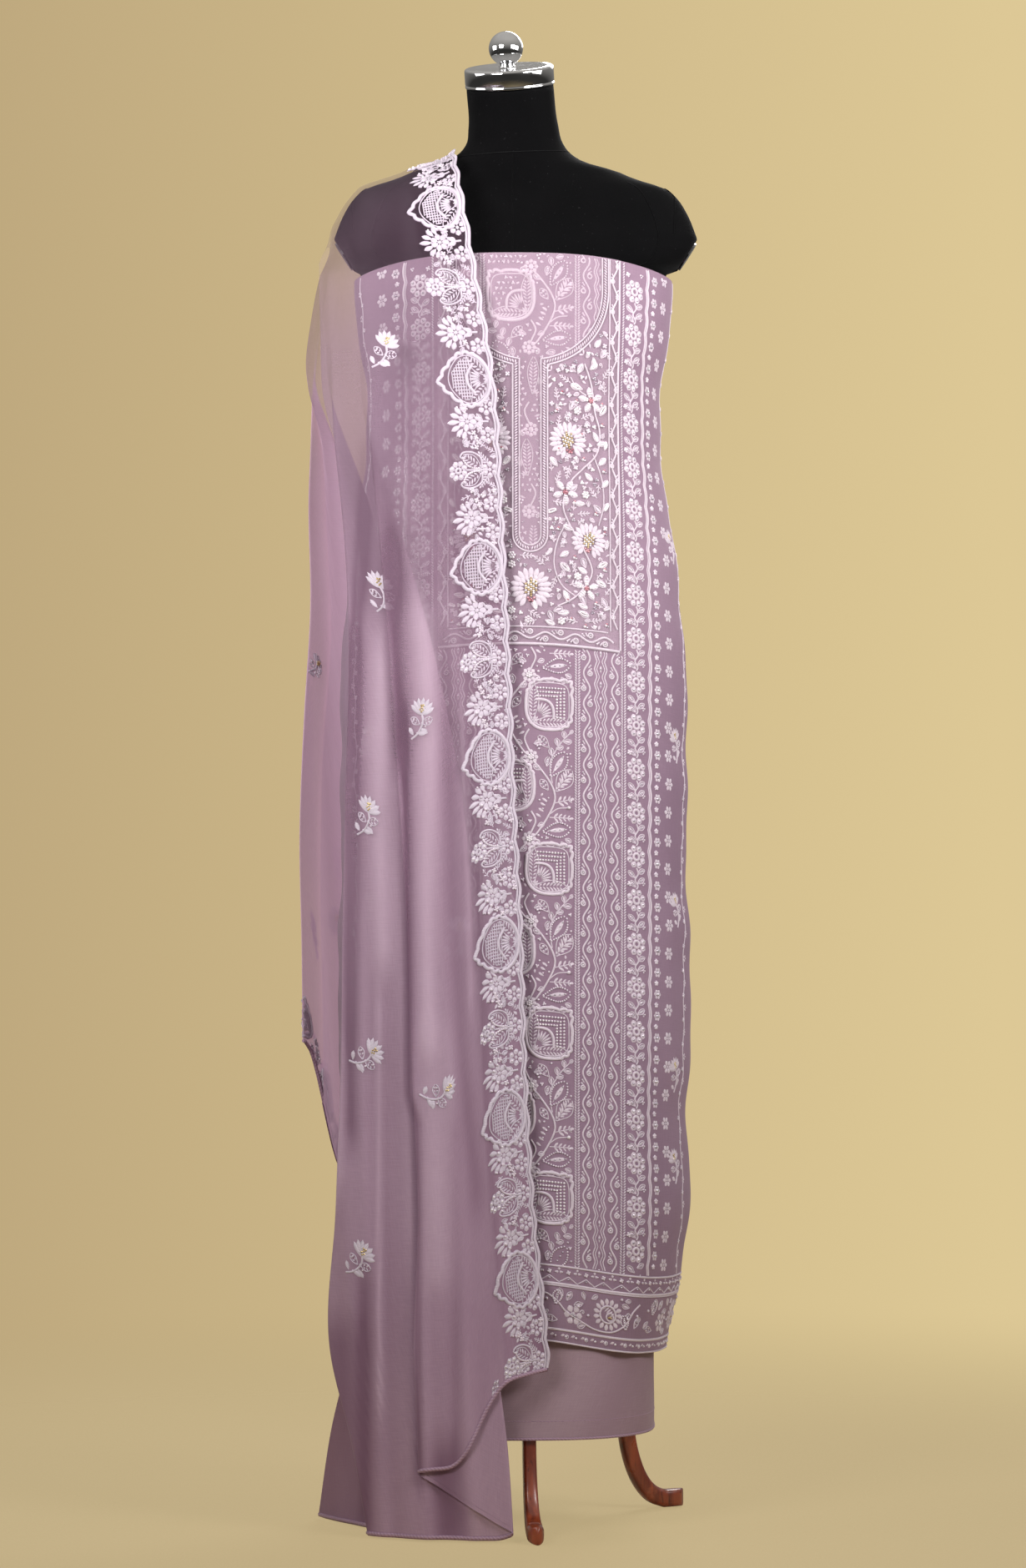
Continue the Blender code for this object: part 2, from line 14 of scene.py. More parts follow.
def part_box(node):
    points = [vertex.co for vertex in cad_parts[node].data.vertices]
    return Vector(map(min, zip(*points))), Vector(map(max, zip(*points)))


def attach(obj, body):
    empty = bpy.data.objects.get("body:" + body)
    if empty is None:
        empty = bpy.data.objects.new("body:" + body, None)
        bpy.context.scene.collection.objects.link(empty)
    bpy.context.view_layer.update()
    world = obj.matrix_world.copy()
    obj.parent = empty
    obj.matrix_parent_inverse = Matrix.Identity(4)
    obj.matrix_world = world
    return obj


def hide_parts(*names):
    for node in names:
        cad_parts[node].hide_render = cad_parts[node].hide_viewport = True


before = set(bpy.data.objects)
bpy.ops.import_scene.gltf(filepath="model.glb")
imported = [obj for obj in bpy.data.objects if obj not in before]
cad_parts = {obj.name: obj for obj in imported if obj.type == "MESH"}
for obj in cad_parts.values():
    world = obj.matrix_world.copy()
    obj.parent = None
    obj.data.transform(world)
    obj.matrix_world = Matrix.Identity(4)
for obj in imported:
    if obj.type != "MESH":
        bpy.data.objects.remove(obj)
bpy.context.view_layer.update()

# Places read from the frame: the form's axis is the pole's, and the part stands on the floor.
POLE_LOW, POLE_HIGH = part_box("form_pole")
AXIS = np.array([(POLE_LOW.x + POLE_HIGH.x) / 2, (POLE_LOW.y + POLE_HIGH.y) / 2, 0.0])

MM = 0.001

# Driving sizes, in metres, as the solids have them.
NECK_TOP = 1.5890
TORSO_BOTTOM = 0.760
WAIST_TOP = 1.100
SALWAR_HEM = 0.105
SHOULDER_FOOT = 1.385
BACK_FALL_LOW = 0.375
FLOOR_CLEAR = 0.002
YOKE_CENTRE = 0.0185
KAMEEZ_HALF = 0.176
SIDE_SEAM = 0.0009
PLAN_POWER = 2.3
FOLD_RADIUS = 0.0021
FOLD_OPENING = 0.012
DRAPE_CLEAR = 0.0060
SHOULDER_CLEAR = 0.0012
CAP_RADIUS = 0.0496
CAP_HEIGHT = 0.0218
BALL_RADIUS = 0.019
NOD = radians(13.4)
ROLL = radians(3.5)
LEG_ANGLES = {"front": 7.0, "right": 119.0, "left": -114.0}
STUB_TOP = (0.2042, 1.4187)
STUB_LOW = (0.1811, 1.3830)
STUB_SLOPE = (STUB_TOP[0] - STUB_LOW[0]) / (STUB_TOP[1] - STUB_LOW[1])
STUB_LEFT_SHORTER = 0.006
STUB_STRAIGHT = (1.366, 1.437)
CAP_EDGE = 0.0030

# Points of a fall's section along a long run, a short run and a turn; and rows of the dupatta's
# front fall, of its way over the shoulder and of its back fall.
RUN, HALF_RUN, TURN = 36, 18, 6
COLUMNS = 1 + 2 * RUN + 3 * HALF_RUN + 4 * TURN
DUPATTA_ROWS = (200, 46, 130)

# The dupatta's scallops and, along its length from the front hem, its border's buds; and its
# sprigs: across, along, and turn in degrees.
SCALLOP = 0.036
BUDS = MM * np.array([
    -80, 104.5, 279.5, 466.1, 667.6, 873.6, 1077, 1275, 1475, 1675, 1875, 2075, 2275, 2475, 2675,
])
SPRIGS = np.array([
    (118.4, 1111.8, 10), (225.6, 1872.5, -150), (238.3, 886.8, 5), (115.2, 740.9, 0), (351.1, 674.1, 10),
    (332.6, 2294, -160), (380.6, 449.5, 45), (136.2, 370.7, 60), (420.7, 255.4, 25), (657.7, 225, 30),
    (349.5, 103.4, -10), (369, 60.8, 160), (100, 1760, 170), (110, 1960, 185), (100, 2160, 175),
    (120, 2360, 190), (95, 2520, 180), (420, 2130, 180), (450, 2460, 170), (240, 2060, 180),
    (520, 420, 0), (560, 620, 10), (260, 560, 0), (600, 2360, 180), (720, 120, 0),
]) * (MM, MM, 1)

# The camera stands level, straight before the form's axis.
CAMERA_AWAY = 6.0
CAMERA_HEIGHT = 0.815
FRAME_TALL_PX = 1880
FOCAL_PX = 6480
SENSOR = 36.0

# These tables are in millimetres. The black form, ring by ring: height, reach to its left, right,
# front and back, and how much of the neck's nod the ring takes.
TORSO_RINGS = np.array([
    (760, 168, 168, 102, 108, 0), (790, 174.5, 174.5, 106, 113, 0),
    (840, 176.5, 176.5, 108, 116, 0), (920, 170, 170, 106, 112, 0), (1000, 153, 153, 101, 95, 0),
    (1060, 140, 140, 96, 83, 0), (1100, 135, 135, 95, 78, 0), (1167, 140, 140, 102, 81, 0),
    (1236, 152, 152, 119, 88, 0), (1290, 162, 162, 127.5, 95, 0), (1340, 168, 168, 119, 100, 0),
    (1366, 169, 169, 112, 101, 0), (1381, 169, 170, 107, 100, 0), (1387, 181, 187, 103, 99, 0),
    (1395, 191.5, 197.5, 101, 99, 0), (1405, 198, 204, 97, 100, 0), (1420, 198.2, 204.2, 90, 98, 0),
    (1437, 192, 198, 82, 94, 0), (1450, 185.7, 191.7, 76, 89, 0), (1465, 175.5, 181.5, 69, 82, 0),
    (1474, 165, 171, 65, 77.5, 0), (1486, 129, 134.5, 60.5, 71, 0), (1494, 110, 115.5, 58, 67, 0),
    (1503, 79, 83, 55.5, 63, 0), (1513, 62, 65, 53, 60, 0.1), (1524, 53, 56, 51, 56.5, 0.3),
    (1545, 49.5, 50, 49.5, 51, 0.7), (1589, 51.6, 44.8, 48.2, 48.2, 1),
]) * (MM, MM, MM, MM, MM, 1)

# The kameez, outside: height, half width, reach in front and behind.
KAMEEZ_RINGS = MM * np.array([
    (180, 166, 150, 148), (240, 176, 154, 150), (296, 188, 152, 150), (360, 194, 150, 148),
    (426, 190, 146, 146), (574, 195, 144, 142), (722, 191, 140, 138), (880, 192, 136, 134),
    (972, 189.5, 132, 128), (1046, 182, 128, 118), (1120, 172, 125, 108), (1167, 164, 125, 106),
    (1236, 162, 127.5, 106), (1290, 169, 130, 108), (1340, 174.5, 125, 108), (1400, 175.5, 121, 107),
])

# The salwar cloth, middle of the wall: height, half width, reach in front and behind.
SALWAR_RINGS = MM * np.array([
    (105, 156, 157.5, 160), (200, 156, 148.5, 144), (300, 158, 143, 140), (450, 164, 136, 134),
    (620, 170, 129, 129), (760, 178, 120, 123), (840, 182, 115, 122), (920, 176, 113, 119),
    (1000, 159, 107, 101), (1060, 143, 99, 86), (1100, 136.6, 96.6, 79.6),
])

# The dupatta's front fall: height, place of its inner scalloped edge, then place and width turned
# back of fold 1 and of fold 2, and the width of the last, hidden run.
FRONT_FALL = MM * np.array([
    (0, 40, -99.3, 98, -154.4, 88, 150), (100, 40, -100, 92, -173, 100, 128),
    (200, 40, -104.5, 84, -197, 130, 112), (350, 25.3, -100, 70, -190.5, 135, 120),
    (500, 16.3, -106.1, 66, -185, 130, 114), (650, 11.7, -111, 66, -183, 120, 104),
    (800, 4.1, -121, 64, -180, 106, 88), (950, -1.8, -130.9, 45, -176, 66, 50),
    (1100, -9, -144.5, 20, -181, 30, 18), (1250, -18.5, -158, 5, -190, 8, 6),
    (1385, -40.6, -165.2, 3, -199, 3, 3),
])

# The back fall, with the same columns.
BACK_FALL = MM * np.array([
    (375, -30, -130, 70, -233.5, 115, 95), (500, -30, -130, 70, -234.5, 115, 95),
    (650, -30, -130, 68, -236.5, 110, 90), (800, -30, -135, 62, -232, 100, 82),
    (950, -35, -140, 50, -225, 85, 65), (1100, -40, -145, 30, -226, 50, 34),
    (1250, -45, -155, 8, -215, 12, 8), (1385, -50, -165, 3, -202, 3, 3),
])

# The plan line that each fall hangs on: height, half width of its ellipse, reach.
FRONT_LINE = MM * np.array([
    (0, 230, 178), (120, 240, 168), (300, 255, 158), (574, 260, 152), (880, 260, 144), (1120, 260, 134),
    (1290, 255, 137), (1385, 245, 129),
])
BACK_LINE = MM * np.array([
    (375, 246, 158), (574, 246, 150), (880, 244, 141), (1120, 240, 122), (1385, 230, 118),
])

# The line of the cloth's highest points over the shoulder, from the neck outwards: x, z.
SHOULDER_CREST = MM * np.array([
    (-64, 1518), (-79, 1506), (-110, 1497.5), (-129, 1489.5), (-165, 1477.5), (-175.5, 1469.5),
    (-187.5, 1454.5), (-194.5, 1442), (-201.5, 1427), (-203.5, 1408),
])

# A leg's middle line: distance from the form's axis, height.
LEG_PATH = MM * np.array([
    (28.3, 400), (45, 402), (70, 392), (94, 352), (114, 290), (128, 220), (136.5, 160), (143, 105),
    (149, 68), (160, 38), (176, 18), (196, 10), (218, 10),
])

# The front fall's deep folds and pale crests, which set its depth and its painted shade and painted
# highlight: (strength, half width, then x at heights). A strength below nought is a painted highlight.
FRONT_LINES = [
    (0.8, 70, (1040, -110), (1200, -120), (1400, -130)),
    (0.95, 8, (450, -176), (620, -177), (800, -176), (950, -172)),
    (0.8, 22, (20, -68), (75, -75)),
    (0.7, 35, (0, -205), (80, -200), (200, -195)),
    (1, 8, (560, -177), (640, -176), (720, -174), (830, -174), (980, -171), (1060, -164), (1150, -158)),
    (0.9, 10, (20, -160), (120, -161), (260, -162)),
    (1, 10, (860, -121), (960, -129), (1050, -130)),
    (1, 4.5, (90, -101), (200, -103), (350, -102), (450, -104), (480, -112), (580, -112),
     (700, -114), (800, -116), (860, -118)),
    (0.45, 9, (380, -40), (520, -56), (700, -68), (850, -71), (960, -73)),
    (-0.9, 8, (400, -193), (620, -193), (800, -192), (1000, -189)),
    (-0.9, 12, (640, -142), (800, -146), (940, -144)),
    (-1, 12, (560, -92), (700, -94), (860, -93), (960, -98), (1060, -111), (1140, -119)),
    (-0.7, 4, (160, -144), (350, -145), (560, -146)),
    (-0.5, 20, (300, -82), (400, -84), (520, -88)),
    (-0.5, 4, (600, -46), (760, -50), (900, -54)),
    (0.35, 7, (110, -62), (300, -60), (430, -62)),
]

# The hem of the front fall's top layer: place, height.
TOP_LAYER_HEM = MM * np.array([
    (-99.3, 75), (-63, 77), (-48, 95), (-27, 143), (-7, 173), (40, 182),
])


def smooth(at, table, column):
    """Values at `at` on a cubic curve through one column of a table, against its first column."""
    knots, values = table[:, 0], table[:, column]
    slopes = np.gradient(values, knots)
    at = np.clip(at, knots[0], knots[-1])
    low = np.clip(np.searchsorted(knots, at) - 1, 0, len(knots) - 2)
    step = knots[low + 1] - knots[low]
    t = (at - knots[low]) / step
    start = (2 * t**3 - 3 * t**2 + 1) * values[low] + (t**3 - 2 * t**2 + t) * step * slopes[low]
    return start + (3 * t**2 - 2 * t**3) * values[low + 1] + (t**3 - t**2) * step * slopes[low + 1]


def along_rows(at, table):
    """Each column of a table, smooth, at shares of the way through its rows."""
    rows = np.column_stack([np.linspace(0, 1, len(table)), table])
    return [smooth(at, rows, k) for k in range(1, rows.shape[1])]


def ease(t):
    """0 to 1 with level ends: 3t^2 - 2t^3."""
    t = np.clip(t, 0, 1)
    return t * t * (3 - 2 * t)


def bump(t):
    """1 at nought, falling to 0 at plus and minus 1, with level ends: (1 - t^2)^2."""
    return np.clip(1 - np.asarray(t) ** 2, 0, 1) ** 2


def signed_power(value, power):
    """A power of a number's size, with the number's sign."""
    return np.sign(value) * np.abs(value) ** power


def superellipse(angle, right, left, front, back, power):
    """x and y of a plan section whose reach differs to each side; angle 0 is +X, 270 degrees the front."""
    cosine, sine = np.cos(angle), np.sin(angle)
    across = np.where(cosine < 0, left, right) * signed_power(cosine, 2 / power)
    return across, np.where(sine < 0, front, back) * signed_power(sine, 2 / power)


def unit(vectors):
    """Vectors brought to length one."""
    return vectors / np.maximum(np.linalg.norm(vectors, axis=-1, keepdims=True), 1e-12)


def run_along(path):
    """Distance run along a path, from nought at its first point."""
    return np.concatenate([[0], np.cumsum(np.linalg.norm(np.diff(path, axis=0), axis=1))])


def pairs(u, v):
    """Two broadcast arrays as (u, v) pairs, for a flat map."""
    return np.stack(np.broadcast_arrays(u, v), axis=-1)


def quads(rows, columns, closed=False):
    """Quads of a grid of points held row by row; a closed grid joins its last column to its first."""
    row = np.arange(rows - 1)[:, None] * columns
    column = np.arange(columns if closed else columns - 1)[None, :]
    after = (column + 1) % columns
    corners = (row + column, row + columns + column, row + columns + after, row + after)
    return np.stack([c.reshape(-1) for c in np.broadcast_arrays(*corners)], axis=1)


def new_piece(name, vertices, faces, look, uv=None):
    """A mesh object from whole arrays: points, faces of three or four corners, and a flat map."""
    mesh = bpy.data.meshes.new(name)
    vertices = np.asarray(vertices, np.float32).reshape(-1, 3)
    faces = np.asarray(faces, np.int32)
    sides = faces.shape[1]
    mesh.vertices.add(len(vertices))
    mesh.vertices.foreach_set("co", vertices.ravel())
    mesh.loops.add(faces.size)
    mesh.loops.foreach_set("vertex_index", faces.ravel())
    mesh.polygons.add(len(faces))
    mesh.polygons.foreach_set("loop_start", np.arange(0, faces.size, sides, dtype=np.int32))
    mesh.update(calc_edges=True)
    mesh.shade_smooth()
    if uv is not None:
        flat = mesh.uv_layers.new(name="flat")
        flat.data.foreach_set("uv", np.asarray(uv, np.float32).reshape(-1, 2)[faces.ravel()].ravel())
    mesh.materials.append(look)
    piece = bpy.data.objects.new(name, mesh)
    bpy.context.scene.collection.objects.link(piece)
    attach(piece, "root")
    return piece


def grid_piece(name, points, look, uv=None, closed=False):
    """A piece from a grid of points held row by row."""
    rows, columns = points.shape[:2]
    return new_piece(name, points, quads(rows, columns, closed), look, uv)


def capped(name, rings, look, uv=None):
    """A closed solid through rings of points, from top to bottom, each end fanned to its middle."""
    rows, columns = rings.shape[:2]
    middles = [rings[0].mean(axis=0), rings[-1].mean(axis=0)]
    vertices = np.concatenate([rings.reshape(-1, 3), middles])
    around = np.arange(columns)
    after = (around + 1) % columns
    top = np.stack([around, after, after, np.full(columns, rows * columns)], axis=1)
    low = np.stack([around, after, after, np.full(columns, rows * columns + 1)], axis=1)
    low[:, :3] += (rows - 1) * columns
    sides = quads(rows, columns, True)
    triangles = np.concatenate(
        [sides[:, [0, 1, 2]], sides[:, [0, 2, 3]], top[:, [0, 1, 3]], low[:, [1, 0, 3]]]
    )
    return new_piece(name, vertices, triangles, look, uv)


def normals(points):
    """Unit normals of a grid: the way along the rows crossed with the way along the columns."""
    return unit(np.cross(np.gradient(points, axis=0), np.gradient(points, axis=1)))


def lengths_along(points, axis):
    """Distance run along a grid, summed from its first point, along its rows or its columns."""
    step = np.linalg.norm(np.diff(points, axis=axis), axis=2)
    start = np.zeros_like(np.take(step, [0], axis=axis))
    return np.concatenate([start, np.cumsum(step, axis=axis)], axis=axis)


def carry(piece, name, values):
    """One number for each point of a piece, for its material."""
    attribute = piece.data.attributes.new(name, "FLOAT", "POINT")
    attribute.data.foreach_set("value", np.asarray(values, np.float32).reshape(-1))


class Cloth:
    """A hung cloth against its flat coordinates: u across, v along it, in metres.

    Each row of the hung grid is walked at even steps of u, so a point of the flat cloth is the
    blend of the four table points round it. Points beyond a row's own width aren't on the cloth.
    """

    def __init__(self, points, u, v, step=0.004):
        self.v = v
        self.u0 = u.min()
        self.step = step
        table_u = np.arange(self.u0, u.max() + step, step)
        self.points = np.stack(
            [
                np.stack([np.interp(table_u, u[i], points[i, :, k]) for k in range(3)], axis=1)
                for i in range(len(points))
            ]
        )
        self.low = u.min(axis=1)
        self.high = u.max(axis=1)
        filled = normals(self.points)
        own = normals(points)
        for i in range(len(points)):
            for k in range(3):
                filled[i, :, k] = np.interp(table_u, u[i], own[i, :, k])
        self.normals = filled

    def holds(self, u, v, margin=0.0):
        """Whether flat points lie on the cloth, by a margin."""
        low = np.interp(v, self.v, self.low)
        high = np.interp(v, self.v, self.high)
        inside = (v > self.v[0] + margin) & (v < self.v[-1] - margin)
        return inside & (u > low + margin) & (u < high - margin)

    def lay(self, u, v, lift=0.0):
        """Flat points on the hung cloth, lifted off its face."""
        column = np.clip((u - self.u0) / self.step, 0, self.points.shape[1] - 1.001)
        row = np.interp(v, self.v, np.arange(len(self.v)))
        row = np.clip(row, 0, len(self.v) - 1.001)
        i, j = row.astype(int), column.astype(int)
        a, b = (row - i)[..., None], (column - j)[..., None]

        def blend(table):
            upper = table[i, j] * (1 - b) + table[i, j + 1] * b
            lower = table[i + 1, j] * (1 - b) + table[i + 1, j + 1] * b
            return upper * (1 - a) + lower * a

        return blend(self.points) + blend(self.normals) * np.asarray(lift)[..., None]


def torso_surface(angle, z):
    """Points of the form's cover at plan angles and heights.

    Superellipses of power 2.3 through the ring table, curved from ring to ring except at the arm
    stubs, where they run straight and stop at each stub's slanting flat; the neck's rings nod.
    """
    rings = TORSO_RINGS
    straight = (z > STUB_STRAIGHT[0]) & (z < STUB_STRAIGHT[1])
    left, right, front, back, nod = (
        np.where(straight, np.interp(z, rings[:, 0], rings[:, k]), smooth(z, rings, k)) for k in range(1, 6)
    )
    x, y = superellipse(angle, right, left, front, back, PLAN_POWER)
    flat = STUB_TOP[0] - (STUB_TOP[1] - z) * STUB_SLOPE
    cut = (z > STUB_LOW[1]) & (z < STUB_TOP[1])
    x = np.where(cut, np.clip(x, STUB_LEFT_SHORTER - flat, flat), x)
    lean = np.clip(nod, 0, 1) * (y * tan(NOD) + x * tan(ROLL))
    return np.stack([x, y, z + lean], axis=-1)


def form_cover(look):
    """The black jersey cover, from the open hip to the neck's rim."""
    low, high = STUB_STRAIGHT
    steps = ((TORSO_BOTTOM, low, 36), (low + 0.004, high, 30), (high, NECK_TOP, 34))
    z = np.unique(np.concatenate([np.linspace(*step) for step in steps]))[::-1, None]
    angle = np.arange(128)[None] * 2 * pi / 128
    return capped("form_cover", torso_surface(angle + 0 * z, z + 0 * angle) + AXIS, look)


def joined(parts):
    """Several (points, faces, uv) sets of one kind made into one."""
    points, faces, uv = zip(*parts)
    count = np.cumsum([0] + [len(p) for p in points])
    return np.concatenate(points), np.concatenate([f + c for f, c in zip(faces, count)]), np.concatenate(uv)


def seam_cord(path, normal, half_wide, half_high, sides=5):
    """An oval cord along a path on a surface, as (points, faces, uv): u round it, v along it."""
    across = np.cross(normal, unit(np.gradient(path, axis=0)))
    turn = (np.arange(sides) * 2 * pi / sides)[None, :, None]
    around = across[:, None] * np.cos(turn) * half_wide + normal[:, None] * np.sin(turn) * half_high
    uv = pairs(np.arange(sides) / sides, run_along(path)[:, None])
    faces = quads(len(path), sides, True)[:, ::-1]
    return (path[:, None] + around).reshape(-1, 3), faces, uv.reshape(-1, 2)


def form_seams(look):
    """The cover's felled seams: neck base, both armholes, centre front and back, four princess seams."""
    sets = []

    def sew_on(angle, z, half_wide=0.0011, half_high=0.00045):
        d_angle = torso_surface(angle + 0.004, z) - torso_surface(angle - 0.004, z)
        d_z = torso_surface(angle, z + 0.0005) - torso_surface(angle, z - 0.0005)
        normal = unit(np.cross(d_angle, d_z))
        sets.append(seam_cord(torso_surface(angle, z) + AXIS, normal, half_wide, half_high))

    round_neck = np.linspace(0, 2 * pi, 121)
    sew_on(round_neck, 1.511 + 0.004 * np.cos(round_neck))
    z = np.linspace(0.765, 1.510, 160)
    for degrees in (270, 90):
        sew_on(radians(degrees) + 0 * z, z)
    z = np.linspace(0.765, 1.478, 150)
    apart = 0.78 - 0.10 * bump((z - 1.10) / 0.25) + 0.08 * ease((z - 1.25) / 0.2)
    for side in (-1, 1):
        for facing in (-1, 1):
            sew_on(radians(90 * (2 - facing)) - side * facing * apart, z)
    # The armhole seam rings the stub where the stub's reach to the side is `reach`.
    turn = np.linspace(-0.55 * pi, 0.55 * pi, 60)
    z = 1.428 + 0.046 * np.cos(turn)
    reach = 0.176 + 0.004 * (z - 1.40) / 0.08
    for start, way in ((pi, -1), (0.0, 1)):
        half = np.abs(torso_surface(start + 0 * z, z)[:, 0])
        bend = np.arccos(np.clip(reach / half, 0, 0.985) ** (PLAN_POWER / 2))
        sew_on(start + way * bend * np.where(np.sin(turn) < 0, -1, 1), z, 0.0012, 0.0006)
    points, faces, uv = joined(sets)
    return new_piece("form_seams", points, faces, look, uv)


def turned(name, profile, sides, look, place=None):
    """A solid of revolution about Z through (radius, height) points, from top to bottom."""
    angle = np.arange(sides) * 2 * pi / sides
    profile = np.array(profile)
    radius, height = profile[:, :1], profile[:, 1:]
    rings = np.stack([radius * np.cos(angle), radius * np.sin(angle), height + 0 * angle], axis=2)
    if place is not None:
        rings = rings @ np.array(place.to_3x3()).T + np.array(place.to_translation())
    run = run_along(profile)
    uv = pairs(angle / (2 * pi), run[:, None]).reshape(-1, 2)
    return capped(name, rings + AXIS, look, np.concatenate([uv, [[0.5, 0], [0.5, run[-1]]]]))


def neck_fittings(look):
    """The polished cap and the ball on its short stem, both tilted with the neck."""
    tilt = Matrix.Rotation(-ROLL, 4, "Y") @ Matrix.Rotation(NOD, 4, "X")
    edge = [
        (CAP_RADIUS - CAP_EDGE + CAP_EDGE * sin(a), CAP_HEIGHT - CAP_EDGE + CAP_EDGE * cos(a))
        for a in np.linspace(0, pi / 2, 7)
    ]
    groove = ((0, 5), (0.4, 4.6), (0.4, 3.6), (0, 3.2), (0, 1.2), (0.6, 0.3), (2, 0))
    side = [(CAP_RADIUS - off * MM, z * MM) for off, z in groove]
    dish = [(0.004, CAP_HEIGHT - 0.0006), (0.034, CAP_HEIGHT - 0.0005), (0.042, CAP_HEIGHT)]
    seat = Vector((-0.0034, 0, NECK_TOP)) + tilt @ Vector((0, 0, 0.0005))
    cap = turned("neck_cap", dish + edge + side, 96, look, Matrix.Translation(seat) @ tilt)
    turn = np.linspace(0.05, pi - 0.42, 30)
    ball = [(BALL_RADIUS * sin(a), BALL_RADIUS * cos(a)) for a in turn]
    ball += [(0.0074, -BALL_RADIUS + 0.0012), (0.0078, -BALL_RADIUS), (0.0095, -BALL_RADIUS - 0.0008)]
    centre = seat + tilt @ Vector((-0.002, 0, CAP_HEIGHT + BALL_RADIUS + 0.0013))
    return cap, turned("neck_ball", ball, 64, look, Matrix.Translation(centre) @ tilt)


def stand_leg(name, degrees, look):
    """A cabriole leg: a rounded square section carried along a curved path to a flat foot."""
    fine = np.linspace(0, 1, 73)
    r0, z0 = along_rows(fine, LEG_PATH)
    on_foot = fine > 0.90
    z0 = np.where(on_foot, 0.0100, z0)
    way_r, way_z = np.gradient(r0), np.where(on_foot, 0, np.gradient(z0))
    way_r[0], way_z[0] = 1.0, 0.0
    length = np.hypot(way_r, way_z)
    turn = np.arange(24) * 2 * pi / 24
    wide, deep = signed_power(np.cos(turn), 0.55), signed_power(np.sin(turn), 0.55)
    swell = 1 + 0.08 * ease((fine - 0.78) / 0.1)
    # The toe rounds off in its last tenth, and a shallow waist thins the leg above the foot.
    toe = np.sqrt(np.clip(1 - np.clip((fine - 0.93) / 0.075, 0, 1) ** 2, 0.02, 1))
    waist = 1 - 0.10 * bump((fine - 0.62) / 0.22)
    side = wide * (0.0082 * swell * toe * waist)[:, None]
    deep = deep * (0.0092 * swell / length)[:, None]
    r = r0[:, None] - way_z[:, None] * deep
    z = np.maximum(z0[:, None] + way_r[:, None] * deep, 0.0)
    sine, cosine = sin(radians(degrees)), cos(radians(degrees))
    rings = np.stack([r * sine + side * cosine, side * sine - r * cosine, z], axis=2)[:, ::-1]
    uv = pairs(turn * 0.006, fine[:, None] * 0.55).reshape(-1, 2)
    return capped(name, rings + AXIS, look, np.concatenate([uv, [[0, 0], [0, 0.55]]]))


def kameez_heights(x, z_share):
    """Heights from the top edge, which dips to the sides, to the hem, which dips more."""
    side = np.abs(x) / KAMEEZ_HALF
    top = 1.393 - 0.022 * side**3
    hem = 0.215 - 0.024 * ease(side)
    return top + (hem - top) * z_share


def kameez_relief(z, angle):
    """Soft upright folds, deeper towards the hem; short pulls at the pinned sides; a slow ripple."""
    folds = 0.6 * np.sin(9 * angle + 2.2) + 0.4 * np.sin(14 * angle + 3 * z)
    side = np.abs(np.cos(angle))
    pulls = np.sin(z * 46 + 3 * side) + 0.7 * np.sin(z * 79 + 5 * side + 1.3)
    slow = np.sin(5 * angle + 9 * z) * np.sin(7.3 * z + 1.1)
    creases = 0.0011 * ease((side - 0.72) / 0.28) * pulls + 0.0007 * slow
    return 0.0030 * ease((1.05 - z) / 0.7) * folds + creases


def ring_at(table, z, angle, power):
    """Points of a plan section whose half width, front and back reach come from a table."""
    half, front, back = (smooth(z, table, k) for k in (1, 2, 3))
    x, y = superellipse(angle, half, half, front, back, power)
    return np.stack([x, y, z + 0 * x], axis=-1)


def moved_out(points, depth):
    """Points moved level from the axis by a depth."""
    return points + unit(points * (1, 1, 0)) * depth[:, :, None]


def kameez_grid(angles, shares):
    """The kameez's outer points: shares of its height down the rows, plan angles along them."""
    x, _ = superellipse(angles, KAMEEZ_HALF, KAMEEZ_HALF, 0.13, 0.13, PLAN_POWER)
    z = kameez_heights(x, shares[:, None])
    angle = angles + 0 * z
    return moved_out(ring_at(KAMEEZ_RINGS, z, angle, PLAN_POWER), kameez_relief(z, angle))


def even_angles(low, high, count):
    """Plan angles of even steps of arc on the kameez's mean section."""
    fine = np.linspace(low, high, 2000)
    run = run_along(pairs(*superellipse(fine, 0.185, 0.185, 0.135, 0.13, PLAN_POWER)))
    return np.interp(np.linspace(0, run[-1], count), run, fine)


def kameez_panel(front):
    """Points of the front or back panel with flat u, from the panel's middle line, and flat v."""
    start = pi if front else 0.0
    angles = even_angles(start + SIDE_SEAM, start + pi - SIDE_SEAM, 140 if front else 110)
    points = kameez_grid(angles, np.linspace(0, 1, 210 if front else 170))
    run = lengths_along(points, 1)
    across, middle = (points[:, :, 0], YOKE_CENTRE) if front else (-points[:, :, 0], 0.0)
    centre = np.array([np.interp(middle, x, r) for x, r in zip(across, run)])
    line = np.array([[np.interp(middle, x, p[:, k]) for k in range(3)] for x, p in zip(across, points)])
    return points + AXIS, run - centre[:, None], run_along(line)


def flat_map(u, v):
    """The flat map of a grid: u across and v along, in metres."""
    return pairs(u, np.reshape(v, (-1, 1)))


def salwar_panel():
    """The plain lower cloth: a tube that hugs the form's waist and hangs to a level hem.

    Slanting creases are waves of height and plan angle together, deepest between knee and hem.
    """
    angle = (np.linspace(0, 2 * pi, 145) + pi / 2)[None]
    z = np.linspace(WAIST_TOP, SALWAR_HEM, 120)[:, None]
    power = PLAN_POWER + 0.45 * ease((0.20 - z) / 0.09)
    slant = np.sin(4 * angle + 21 * z) * 0.5 + 0.35 * np.sin(7 * angle - 33 * z + 1.0)
    fine = 0.25 * np.sin(11 * angle + 58 * z) * np.sin(23 * z)
    depth = 0.0011 * ease((0.95 - z) / 0.5) * (slant + fine)
    points = moved_out(ring_at(SALWAR_RINGS, z + 0 * angle, angle + 0 * z, power), depth)
    points[:, -1] = points[:, 0]
    return points + AXIS, lengths_along(points, 1), WAIST_TOP - z[:, 0]


